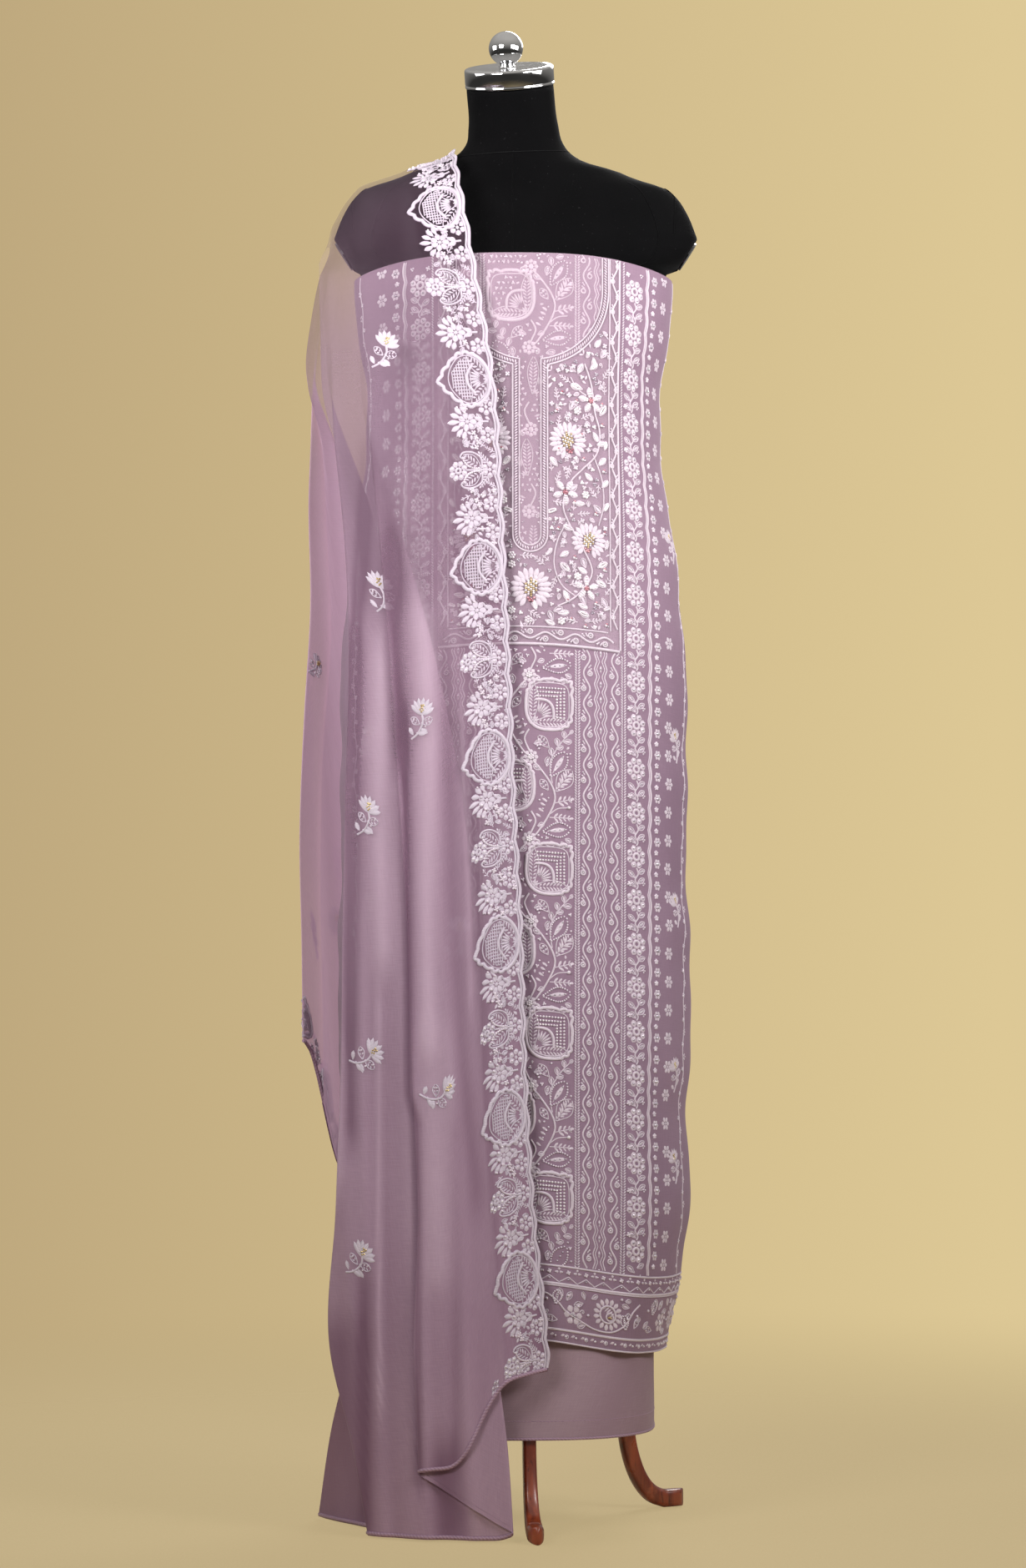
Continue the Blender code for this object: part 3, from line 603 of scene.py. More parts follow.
def fold_section(z, table):
    """Plan sections of a fall at heights z: x of each point, and its distance off the plan line.

    A section runs left from the inner edge to fold 1, turns under, runs right, turns back, runs
    left to fold 2, turns under, runs right, turns back and runs left to the hidden last edge.
    Where little cloth is turned back, the fold opens and its layers flatten into one.
    """
    edge, fold_1, back_1, fold_2, back_2, last = (smooth(z, table, k) for k in range(1, 7))
    turn_1, turn_2 = (pi * (1 - np.exp(-((b / FOLD_OPENING) ** 1.5))) for b in (back_1, back_2))
    first = edge - fold_1
    third = np.maximum(fold_1 - back_1 * np.cos(turn_1) - fold_2, 0.006)
    level = np.zeros_like(z)
    runs = (
        (first, level, RUN), (back_1, turn_1, HALF_RUN), (third, level, RUN), (back_2, turn_2, HALF_RUN),
        (last, level, HALF_RUN),
    )
    middle = (np.arange(TURN) + 0.5) / TURN
    lengths, headings = [], []
    for k, (length, heading, count) in enumerate(runs):
        lengths.append(length[:, None] / count + np.zeros(count))
        headings.append(heading[:, None] + np.zeros(count))
        if k < 4:
            angle = (turn_1, turn_2)[k // 2][:, None]
            lengths.append((FOLD_RADIUS * angle + 0.0012) / TURN + 0 * middle)
            headings.append(angle * (1 - middle if k % 2 else middle))
    length, heading = np.concatenate(lengths, axis=1), np.concatenate(headings, axis=1)
    steps = np.cumsum(length * np.cos(heading), axis=1), np.cumsum(length * np.sin(heading), axis=1)
    run, drop = (np.concatenate([level[:, None], step], axis=1) for step in steps)
    # The first run climbs over the layers under it, in the part that has none of them below.
    bare = np.maximum(first - np.maximum(back_1, 0.02) - 0.004, 0.03)
    climb = drop[:, -1:] * ease(run / bare[:, None])
    rise = np.where(np.arange(COLUMNS) <= RUN, climb, drop[:, -1:])
    return edge[:, None] - run, rise - drop


def edge_wave(v):
    """How far the scalloped edge lies in from the straight one, against the length v."""
    return 0.0032 * (1 - np.abs(np.sin(pi * v / SCALLOP)))


def fall_flutes(x, z, strength):
    """Upright flutes of a fall, in metres off it: waves that lean with the cloth and widen downwards."""
    lean = x + 0.030 * z
    wide = np.sin(lean * 118 + 1.7 * z + 0.4) + 0.55 * np.sin(lean * 71 - 2.9 * z + 2.0)
    return strength * (wide + 0.35 * np.sin(lean * 260 + 5.0 * z))


def fold_shade(x, z):
    """How deep in a fold the cloth lies, from -1 on a crest to 1: rounded bands along the table's lines. It
    sets the cloth's depth and its painted shade and painted highlight.
    """
    total = np.zeros_like(x)
    for strength, wide, *line in FRONT_LINES:
        heights, places = MM * np.transpose(line)
        fade = ease((z - heights[0] + 0.06) / 0.06) * ease((heights[-1] + 0.06 - z) / 0.06)
        total += strength * fade * np.exp(-(((x - np.interp(z, heights, places)) / (wide * MM)) ** 2))
    return np.clip(total, -1, 1)


def back_shade(x, z):
    """The same for the back fall, from its flutes: their hollows are deep. It gives painted shade in the
    hollows and painted highlight on the crests.
    """
    return np.clip(-0.55 * fall_flutes(x, z, 1.0), -0.8, 0.9)


def fall_grid(table, line, heights, side):
    """Points of a fall at heights of one row for each level and one column for each section point."""
    levels = np.linspace(table[0][0], SHOULDER_FOOT, 160)
    x, lift = (
        np.stack([np.interp(heights[:, j], levels, values[:, j]) for j in range(COLUMNS)], axis=1)
        for values in fold_section(levels, table)
    )
    half, reach = smooth(heights, line, 1), smooth(heights, line, 2) + DRAPE_CLEAR
    deep = reach * (1 - np.clip(np.abs(x) / half, 0, 0.995) ** 2.2) ** (1 / 2.2)
    deep = deep + fall_flutes(x, heights, 0.0014 * ease((1.36 - heights) / 0.9) + 0.0002)
    if side < 0:
        deep = deep + 0.0035 - 0.0035 * fold_shade(x, heights) * ease((1.36 - heights) / 0.3)
    return np.stack([x, side * (deep + lift), heights], axis=2)


def front_hems():
    """Hem height of each column of the front fall: the top layer's end climbs to its inner edge."""
    first = RUN + 1
    fold = first + TURN
    second = fold + HALF_RUN
    hem = np.full(COLUMNS, FLOOR_CLEAR)
    hem[:first] = np.interp(np.linspace(0.040, -0.0993, first), *TOP_LAYER_HEM.T)
    hem[first:fold] = 0.072
    hem[fold:second] = np.linspace(0.068, 0.012, HALF_RUN)
    hem[second : second + TURN] = 0.009
    for _ in range(6):
        hem[1:-1] = np.convolve(hem, (0.25, 0.5, 0.25), mode="valid")
    return hem


def dupatta_panel():
    """The whole dupatta, from its front hem over the shoulder to its back hem.

    Over the shoulder each point runs round a half turn: x and height rise to the crest line as
    sin^0.85, and the depth goes from the front fall's to the back fall's as the cosine.
    """
    front_rows, over_rows, back_rows = DUPATTA_ROWS
    hem = front_hems()
    heights = hem + (SHOULDER_FOOT - hem) * np.linspace(0, 1, front_rows)[:, None]
    front = fall_grid(FRONT_FALL, FRONT_LINE, heights, -1)
    last_run = ease((np.arange(COLUMNS) - (COLUMNS - HALF_RUN - 1)) / HALF_RUN)
    front[:, :, 1] += 0.075 * ease((0.30 - front[:, :, 2]) / 0.30) * last_run
    share = np.linspace(1, 0, back_rows)[:, None]
    levels = BACK_FALL_LOW + (SHOULDER_FOOT - BACK_FALL_LOW) * share + np.zeros(COLUMNS)
    back = fall_grid(BACK_FALL, BACK_LINE, levels, 1)
    corner = BACK_FALL_LOW + 0.150 * ease((-0.190 - back[-1, :, 0]) / 0.045)
    back[:, :, 2] = corner + (SHOULDER_FOOT - corner) * share
    turn = np.linspace(0, pi, over_rows)[:, None]
    start, end = front[-1], back[0]
    foot = start + (end - start) * ease(turn / pi)[:, :, None]
    along = np.abs(start[:, 0] - start[0, 0]) / np.ptp(start[:, 0])
    crest = np.stack(along_rows(along, SHOULDER_CREST), axis=-1) + (0, SHOULDER_CLEAR)
    over = foot + 0.0
    over[:, :, [0, 2]] += (crest - foot[:, :, [0, 2]]) * np.sin(turn)[:, :, None] ** 0.85
    reach = np.cos(turn)
    over[:, :, 1] = np.where(reach > 0, start[:, 1], -end[:, 1]) * reach
    points = np.concatenate([front, over[1:-1], back])
    v = lengths_along(points[:, :HALF_RUN], 0)[:, 4]
    u = lengths_along(points, 1)
    points[:, 0] += unit(points[:, 1] - points[:, 0]) * edge_wave(v)[:, None]
    u[:, 0] = edge_wave(v)
    x, y, z = np.moveaxis(points, 2, 0)
    # Painted shade in the folds and painted highlight on the crests, for the fold attribute; the back fall is
    # lightened as a whole with a painted highlight.
    shade = np.where(y < 0, fold_shade(x, z) + 0.22 * back_shade(x, z), 0.5 * back_shade(x, z) - 0.4)
    # The ground between the border's stitches is darkened with painted shade, the shade of the stitches.
    shade += 0.55 * ease((0.062 - u) / 0.008)
    return points + AXIS, u, v, np.clip(shade, -1, 1)


PEARL, SILVER, GOLD, ROSE, KNOT = range(5)
FULLER = 1.15  # thread spreads on the cloth: each drawn width grows by this factor
SPREAD = 0.20  # and by this many millimetres
THIN_CORD = 0.85 * MM  # half widths under this have two faces across
CELL = 0.8 * MM  # the size of the cells in which stitches are marked, to find bare places


def rows_of(*columns):
    """Numbers and lists as the columns of one table, each repeated down to the longest."""
    return np.stack(np.broadcast_arrays(*(np.atleast_1d(np.asarray(a, float)) for a in columns)), axis=1)


def spread(width):
    """A drawn width as its thread fills it."""
    return FULLER * np.asarray(width, float) + SPREAD


def everywhere(u, v):
    """A region without bounds."""
    return np.ones_like(u + v, bool)


class Motif:
    """A piece of embroidery in its own flat frame, x right and y up, in millimetres.

    petals: x, y, heading, length, width, bluntness, height; beads: x, y, radius, kind;
    cords: a path with its half width and height.
    """

    def __init__(self):
        self.petals, self.beads, self.cords = [], [], []

    def petal(self, x, y, heading, length, width, blunt=0.8, high=0.8):
        """Satin-stitched petals from their foot (x, y) outwards; headings in degrees."""
        self.petals.append(rows_of(x, y, np.radians(heading), length, spread(width), blunt, high))
        return self

    def bead(self, x, y, radius, kind=KNOT):
        self.beads.append(rows_of(x, y, spread(radius), kind))
        return self

    def cord(self, path, half_wide=0.5, high=0.7):
        self.cords.append((np.asarray(path, float), spread(half_wide), 1.15 * high))
        return self

    def stem(self, half_wide, high, *corners, count=20):
        """A cord on the smooth path through its corners."""
        return self.cord(curve(*corners, count=count), half_wide, high)

    def ring(self, x, y, radius, count, half_wide, high):
        """A cord round a centre, through so many points."""
        return self.cord(pairs(*on_circle(np.linspace(0, 360, count), radius)) + (x, y), half_wide, high)

    def curl(self, x, y, heading, radius, side, half_wide=0.5, high=0.8):
        """A tendril from (x, y) that runs out along its heading and winds into a spiral of 1.15 turns."""
        share = np.linspace(0, 1, 22)
        a = heading + side * share**1.3 * 1.15 * 360
        step = radius * 4.6 * (1 - 0.80 * share) / len(share)
        path = np.cumsum(pairs(*on_circle(a, step)), axis=0)
        return self.cord(np.concatenate([[[0, 0]], path]) + (x, y), half_wide, high)

    def add(self, other, x=0.0, y=0.0, turn=0.0, size=1.0, flip=1):
        """Another motif, flipped across its y axis, scaled, turned (degrees) and moved into this one."""
        turn = radians(turn)
        spin = np.array([[cos(turn), sin(turn)], [-sin(turn), cos(turn)]])

        def moved(rows):
            places = (rows[:, :2] * (flip * size, size)) @ spin + (x, y)
            return np.concatenate([places, rows[:, 2:]], axis=1)

        for rows in map(moved, other.petals):
            rows[:, 2] = (rows[:, 2] if flip > 0 else pi - rows[:, 2]) + turn
            rows[:, 3:5] *= size
            self.petals.append(rows)
        self.beads += [moved(rows) * (1, 1, size, 1) for rows in other.beads]
        self.cords += [(moved(path), wide, high) for path, wide, high in other.cords]
        return self

    def many(self, shape, *spots):
        """Several of one shape: each spot is x, y and turn, then what the shape is made from."""
        for x, y, turn, *sizes in spots:
            self.add(shape(*sizes), x, y, turn)
        return self

    def stretched(self, across, up):
        """The motif with its x and y scaled apart; each petal turns and lengthens with them."""
        for rows in self.petals:
            run, rise = across * np.cos(rows[:, 2]), up * np.sin(rows[:, 2])
            longer = np.hypot(run, rise)
            rows[:, :2] *= (across, up)
            rows[:, 2] = np.arctan2(rise, run)
            rows[:, 3] *= longer
            rows[:, 4] *= across * up / longer
        self.beads = [rows * (across, up, 1, 1) for rows in self.beads]
        self.cords = [(path * (across, up), wide, high) for path, wide, high in self.cords]
        return self


def on_circle(degrees, radius=1.0):
    """x and y of points on a circle round nought."""
    return radius * np.cos(np.radians(degrees)), radius * np.sin(np.radians(degrees))


def curve(*corners, count=20):
    """A smooth path through corner points: a uniform Catmull-Rom spline."""
    p = np.array([corners[0], *corners, corners[-1]], float)
    t = np.linspace(0, len(corners) - 1 - 1e-9, count)
    i = t.astype(int)
    s = (t - i)[:, None]
    a, b, c, d = p[i], p[i + 1], p[i + 2], p[i + 3]
    return 0.5 * (2 * b + (c - a) * s + (2 * a - 5 * b + 4 * c - d) * s**2 + (3 * b - 3 * c + d - a) * s**3)


def rosette(petals, inner, outer, width, centre=0.0, bead=None, blunt=0.55, turn=0.0):
    """Petals evenly round a centre, from the inner radius to the outer, with a bead on each if given."""
    a = 360 * np.arange(petals) / petals + turn
    m = Motif().petal(*on_circle(a, inner), a, outer - inner, width, blunt, 0.95)
    if centre:
        m.petal(-centre, 0.0, 0.0, 2 * centre, 2 * centre, 0.5, 0.8)
    if bead is not None:
        m.bead(*on_circle(a, inner + 0.55 * (outer - inner)), 0.19 * width, bead)
    return m


def leaf(length, width, vein=True, dots=0):
    """A leaf along +x: a corded or knotted rim round a satin body, or round a herringbone in a larger one."""
    m = Motif()

    def half(share):
        return width / 2 * np.sin(pi * share**1.25) ** 0.9

    if dots:
        at = (np.arange(dots) + 0.5) / dots
        m.bead(np.tile(at * length, 2), np.concatenate([half(at) + 0.3, -half(at) - 0.3]), 0.85)
        m.petal(0.14 * length, 0.0, 0.0, 0.72 * length, 0.30 * width, 0.9, 0.5)
        return m.bead(np.linspace(0.26, 0.78, 4) * length, 0.0, 0.75, SILVER)
    share = np.linspace(0.02, 0.98, 12)
    at = np.arange(0.10, 0.84, 3.7 / length)
    for sign in (-1, 1):
        m.cord(pairs(share * length, sign * half(share)), 0.38, 0.9)
        if length > 13:
            m.petal(at * length, 0.2 * sign, 48.0 * sign, 0.98 * half(at + 0.06), 1.7, 0.7, 0.9)
    if length <= 13:
        m.petal(0.08 * length, 0.0, 0.0, 0.84 * length, 0.45 * width, 0.9, 0.7)
    return m.bead(np.array([0.42, 0.58]) * length, 0.0, 0.55, SILVER) if vein else m


def plain_leaf(length, width):
    """A leaf without beads on its vein."""
    return leaf(length, width, False)


def spray(length, rows, leaf_length):
    """A stem along +x with rows of two small leaves and one at its tip."""
    m = Motif().cord(pairs(np.linspace(0, length, 10), 0.0), 0.38, 0.7)
    at = np.linspace(0.22, 0.90, rows)
    size = leaf_length * (1.05 - 0.45 * at)
    for heading in (46.0, -46.0):
        m.petal(at * length, 0.0, heading, size, size * 0.30, 0.7, 0.7)
    return m.petal(length, 0.0, 0.0, leaf_length * 0.7, leaf_length * 0.32, 0.7, 0.7)


def knots(count, radius, size=0.9, centre=True, kind=KNOT):
    """A ring of French knots, with one in the middle."""
    a = 360 * np.arange(count) / count + np.degrees(0.4)
    m = Motif().bead(*on_circle(a, radius), size, kind)
    return m.bead(0.0, 0.0, size, kind) if centre else m


def fan_bud(wide, tall, filling, rim=1.6, square=1.0):
    """A bud in a rounded frame, square or (square 0) near a circle: its foot at (0, 0), its tip far off.

    The scalloped rim is a thick cord; a herringbone leaf runs up each near side, ribs fan out from the
    foot inside a satin arch, and the far band holds three rows of beads, or a net of fine cords.
    """
    m = Motif()
    size = np.array([wide, tall])
    a = np.linspace(0, 2 * pi, 121)
    far = 0.5 + 0.5 * np.cos(a - pi / 4)
    power = 2 / (2.0 + 0.5 * square + (0.5 + 1.5 * square) * far**2)
    ripple = 1 + 0.08 * (np.abs(np.cos(8 * a)) - 0.6) * (far > 0.30)
    tip = 1 + (0.34 - 0.22 * square) * np.clip(1 - np.abs(a - pi / 4), 0, 1) ** 1.8
    outline = signed_power(pairs(np.cos(a), np.sin(a)), power[:, None])
    for reach, thick, high in (((ripple * tip)[:, None], rim, 1.5), (0.89, 0.45, 1.0)):
        m.cord(size / 2 * (1 + reach * outline), thick, high)
    foot, blade = 0.20 - 0.06 * square, 0.62 + 0.16 * square
    m.add(plain_leaf(blade * tall, 0.25 * wide), 0.14 * wide, foot * tall, 88)
    m.add(plain_leaf(blade * wide, 0.25 * tall), foot * wide, 0.14 * tall, 2)
    m.petal(0.16 * wide, 0.16 * tall, [20, 45, 70], 0.15 * wide, 1.6, 0.7, 1.4)
    heading = np.linspace(4, 86, 7)
    x, y = on_circle(heading, 0.08)
    rib = (0.19 + 0.07 * np.sin(np.radians(2 * heading))) * (wide + tall) / 2
    m.petal((0.26 + x) * wide, (0.26 + y) * tall, heading, rib, 1.9, 0.7, 1.5)
    arch = signed_power(pairs(*on_circle(np.linspace(-8, 98, 20))), 0.75)
    m.cord(size * (0.29 + 0.315 * arch), 1.3, 1.3)
    if filling == "net":
        run = np.linspace(0.24, 0.92, 16)
        for k in np.arange(-0.66, 0.67, 0.086):
            for path in (pairs(run, run + k), pairs(run, 1.16 - run + k)):
                keep = (np.hypot(*(path - 0.5).T) < 0.42) & (np.hypot(*(path - 0.29).T) > 0.36)
                if keep.sum() > 1:
                    m.cord(path[keep] * size, 0.46, 1.0)
        return m
    for row, reach in enumerate((0.675, 0.755, 0.835)):
        share = np.linspace(0.25, reach, 8 + row)
        m.bead(share * wide, reach * tall, 0.019 * wide, filling)
        m.bead(reach * wide, share[:-1] * tall, 0.019 * wide, filling)
    return m


def even_path(path, step):
    """A path resampled at even steps, with its heading at each point in degrees (y up)."""
    run = run_along(path)
    at = np.arange(step / 2, run[-1], step)
    u, v = (np.interp(at, run, path[:, k]) for k in (0, 1))
    return u, v, np.degrees(np.arctan2(-np.gradient(v), np.gradient(u)))


def lattice(u, v, across, along, shift=True):
    """Flat places in rows over a range of u and one of v, each second row moved half a step if asked."""
    u, v = np.meshgrid(np.arange(*u, across), np.arange(*v, along))
    if shift:
        u = u + across / 2 * (np.arange(len(u)) % 2)[:, None]
    return u.ravel(), v.ravel()


def copies(points, faces, uv):
    """One pattern of faces laid on each of many sets of points: all as (points, faces, uv)."""
    after = np.arange(len(points)) * (points[0].size // 3)
    faces = faces[None] + after[:, None, None]
    return points.reshape(-1, 3), faces.reshape(-1, faces.shape[-1]), uv.reshape(-1, 2)


class Work:
    """Embroidery on one cloth: motifs stamped at flat places, gathered into a few meshes.

    Only what lies within its region is kept.
    """

    def __init__(self, cloth, within=everywhere):
        self.cloth = cloth
        self.within = within
        self.petals, self.beads, self.cords = [], [], []

    def stamp(self, motif, u, v, turn=0.0, size=1.0, flip=1.0, within=None):
        """A motif at each flat place; turn in degrees. Elements off the cloth are left out."""
        u, v, turn, size, flip = (a[:, None] for a in rows_of(u, v, np.radians(turn), size, flip).T)
        size = size * MM
        within = within or self.within

        def flat(x, y):
            x, y = x * size * flip, y * size
            return u + x * np.cos(turn) - y * np.sin(turn), v - x * np.sin(turn) - y * np.cos(turn)

        def kept(keep, *columns):
            return np.stack([k[keep] for k in np.broadcast_arrays(*columns)], axis=1)

        for x, y, way, length, width, blunt, high in (rows.T for rows in motif.petals):
            a, b = flat(x, y)
            heading = np.where(flip > 0, way, pi - way) + turn
            length = length * size
            tip = (a + length * np.cos(heading), b - length * np.sin(heading))
            keep = self.cloth.holds(a, b) & self.cloth.holds(*tip) & within(a, b)
            self.petals.append(kept(keep, a, b, heading, length, width * size, blunt, high * MM))
        for x, y, radius, kind in (rows.T for rows in motif.beads):
            a, b = flat(x, y)
            keep = self.cloth.holds(a, b, 0.8 * MM) & within(a, b)
            self.beads.append(kept(keep, a, b, radius * size, kind))
        for path, wide, high in motif.cords:
            a, b = flat(*path.T)
            keep = (self.cloth.holds(a, b) & within(a, b)).all(axis=1)
            if keep.any():
                self.cords.append((a[keep], b[keep], wide * MM, high * MM))

    def line(self, u, v, half_wide, high):
        """One cord along a flat path, cut where it leaves the cloth."""
        u, v = np.broadcast_arrays(u, v)
        keep = self.cloth.holds(u, v) & self.within(u, v)
        ends = np.flatnonzero(np.diff(np.concatenate([[0], keep.astype(int), [0]])))
        for start, end in zip(ends[::2], ends[1::2]):
            if end - start > 2:
                self.cords.append((u[None, start:end], v[None, start:end], spread(half_wide) * MM, high * MM))

    def braid(self, path, half_wide, step, mirror, rope=False):
        """Slanted stitches along a flat path: two rows leaning together as a plait, or one as a rope."""
        u, v, heading = even_path(path, step * MM)
        turn = np.radians(heading)
        long = (1.75 if rope else 1.2) * half_wide
        stitch = Motif().petal(-long / 2, 0, 0, long, step * 0.52, 0.5, 1.5)
        for side in (0,) if rope else (-1, 1):
            off = side * half_wide / 2 * MM
            lean = heading + (52 if rope else -38 * side)
            at = mirror * (u - off * np.sin(turn)), v - off * np.cos(turn)
            self.stamp(stitch, *at, turn=lean if mirror > 0 else 180 - lean)

    def fill(self, motifs, places, clear, within):
        """Stamps the motifs by turns at the flat places that lie clear, in metres, of all stitches."""
        u, v = places
        spots = [rows[:, :2] for rows in self.beads]
        for rows in self.petals:
            way = pairs(np.cos(rows[:, 2]), -np.sin(rows[:, 2])) * rows[:, 3:4]
            spots += [rows[:, :2] + share * way for share in (0.1, 0.5, 0.9)]
        spots += [pairs(a.reshape(-1), b.reshape(-1)) for a, b, _, _ in self.cords]
        # Stitches are marked in cells; a running total then counts those round each place.
        reach = int(clear / CELL)
        corner = np.array([u.min(), v.min()]) - 2 * clear
        size = np.array([u.max(), v.max()]) + 2 * clear - corner
        marks = ((np.concatenate(spots) - corner) / CELL).astype(int)
        wide, tall = (size / CELL).astype(int) + 1
        marks = marks[(marks >= 0).all(axis=1) & (marks < (wide, tall)).all(axis=1)]
        held = np.zeros((wide + 1, tall + 1))
        held[marks[:, 0] + 1, marks[:, 1] + 1] = 1
        held = held.cumsum(axis=0).cumsum(axis=1)
        a, b = ((u - corner[0]) / CELL).astype(int), ((v - corner[1]) / CELL).astype(int)
        left, right, low, high = a - reach, a + reach + 1, b - reach, b + reach + 1
        near = held[right, high] - held[left, high] - held[right, low] + held[left, low]
        keep = np.flatnonzero((near == 0) & within(u, v))
        for k, motif in enumerate(motifs):
            pick = keep[k :: len(motifs)]
            self.stamp(motif, u[pick], v[pick], turn=137.5 * pick, within=within)

    def petal_mesh(self, rows, steps, across):
        """Petals as small domes: half width sin(pi s^1.25)^blunt, height the root of 1 - t^2."""
        s = np.linspace(0, 1, steps)[None, :, None]
        t = np.linspace(-1, 1, across)[None, None, :]
        u, v, heading, length, width, blunt, high = (column[:, None, None] for column in rows.T)
        shape = np.maximum(np.sin(pi * s**1.25), 0.0) ** blunt * 0.94 + 0.06
        along = s * length + 0 * t
        side = t * width / 2 * shape
        du, dv = np.cos(heading), -np.sin(heading)
        lift = high * np.sqrt(1 - 0.96 * t**2) * (0.25 + 0.75 * shape) - 0.0001
        points = self.cloth.lay(u + along * du + side * dv, v + along * dv - side * du, lift + 0 * along)
        return copies(points, quads(steps, across), pairs(t + 0 * along, along + u))

    def lay_upright(self, u, v):
        """Flat points on the hung cloth, and the way off its face at each."""
        points = self.cloth.lay(u, v)
        return points, (self.cloth.lay(u, v, MM) - points) / MM

    def cord_mesh(self, u, v, half_wide, high):
        """Cords as half-round ridges: three faces across, or two on a thin one."""
        points, normal = self.lay_upright(u, v)
        across = np.cross(normal, unit(np.gradient(points, axis=1)))
        thin = half_wide < THIN_CORD
        edge = np.array([-1, 0, 1] if thin else [-1, -0.55, 0.55, 1])[:, None]
        rise = np.array([-0.1, 1, -0.1] if thin else [-0.1, 0.85, 0.85, -0.1])[:, None]
        side, up = across[:, :, None] * edge * half_wide, normal[:, :, None] * rise * high
        section = points[:, :, None] + side + up
        step = np.hypot(np.diff(u), np.diff(v))
        run = np.concatenate([np.zeros((len(u), 1)), np.cumsum(step, axis=1)], axis=1)
        return copies(section, quads(u.shape[1], edge.size), pairs(edge[:, 0], run[:, :, None]))

    def bead_mesh(self, rows, sides=6):
        """Beads as low domes: two rings and a crown."""
        centre, normal = self.lay_upright(rows[:, 0], rows[:, 1])
        first = unit(np.cross(normal, (0.13, 0.21, 0.97)))
        second = np.cross(normal, first)
        radius = rows[:, 2][:, None]
        turn = (np.arange(sides) * 2 * pi / sides)[:, None]
        ring = first[:, None] * np.cos(turn) + second[:, None] * np.sin(turn)
        rings = [
            centre[:, None] + ring * (radius * reach)[..., None] + (normal * radius * high)[:, None]
            for reach, high in ((1.0, 0.1), (0.74, 0.95))
        ]
        crown = centre + normal * radius * 1.25
        points = np.concatenate([*rings, crown[:, None]], axis=1)
        around = np.arange(sides)
        after = (around + 1) % sides
        low = np.stack([around, after, around + sides], axis=1)
        high = np.stack([after, after + sides, around + sides], axis=1)
        top = np.stack([around + sides, after + sides, np.full(sides, 2 * sides)], axis=1)
        edge = np.concatenate([np.ones(sides), np.full(sides, 0.5), [0.0]])
        return copies(points, np.concatenate([low, high, top]), pairs(edge, rows[:, :1] + rows[:, 1:2]))

    def sew(self, name, thread, bead_looks):
        """The meshes: one of petals, one of cords and one for each kind of bead."""
        petals, beads = np.concatenate(self.petals), np.concatenate(self.beads)
        grade = np.digitize(petals[:, 3], [6 * MM, 11 * MM, 25 * MM])
        grids = ((4, 3), (5, 3), (6, 4), (12, 9))
        graded = [(petals[grade == k], *grid) for k, grid in enumerate(grids) if (grade == k).any()]
        sets = [
            ("satin_stitch", thread, [self.petal_mesh(*rows) for rows in graded]),
            ("cords", thread, [self.cord_mesh(*cord) for cord in self.cords]),
        ]
        for kind, (label, look) in bead_looks.items():
            rows = beads[beads[:, 3] == kind]
            if len(rows):
                sets.append((label, look, [self.bead_mesh(rows)]))
        for label, look, parts in sets:
            points, faces, uv = joined(parts)
            piece = new_piece(f"{name}_{label}", points, faces, look, uv)


# The kameez's flat places, in metres: its columns from the middle line outwards, and its yoke.
PERIOD = 0.178
MIDDLE_HALF = 0.0478
LADDERS = (0.0520, 0.1055)
SCROLLS = (0.0625, 0.0950)
SCROLL_STEP = 0.0166
LOZENGES = 0.0785
FLOWER_VINE = 0.1220
VINE_STEP = 0.0473
WAVY_LINE = 0.1405
SMALL_FLOWERS = 0.1515
SMALL_STEP = 0.0236
ROSETTES = 0.1725
SPRIG_COLUMN = 0.192
EDGE_VINE = 0.2120
EDGE_STEP = 0.027
BORDER_TOP = 1.0975
BORDER_REACH = 0.300
BORDER_STEP = 0.0210
YOKE_LOW = 0.4285
YOKE_OUT = 0.1030
NECK_AT = 0.0367
NECK_RADIUS = 0.0800
SLIT_HALF = 0.0113
SLIT_LOW = 0.3070


def in_neckline(u, v, more=0):
    """Whether flat points of the front lie inside the round neck or the slit below it, made larger."""
    edge = NECK_RADIUS + more
    bowl = np.where(v < NECK_AT, np.abs(u) < edge, np.hypot(u, v - NECK_AT) < edge)
    return bowl | ((np.abs(u) < SLIT_HALF + more) & (v < SLIT_LOW + SLIT_HALF + more))


def above_border(u, v):
    """Where the front's own stitches show above its border: clear of the yoke, or inside its neckline."""
    clear = (v > YOKE_LOW) | (np.abs(u) > YOKE_OUT) | in_neckline(u, v)
    return (v < BORDER_TOP - 0.001) & clear


def in_middle(u, v):
    return above_border(u, v) & (np.abs(u) < MIDDLE_HALF)


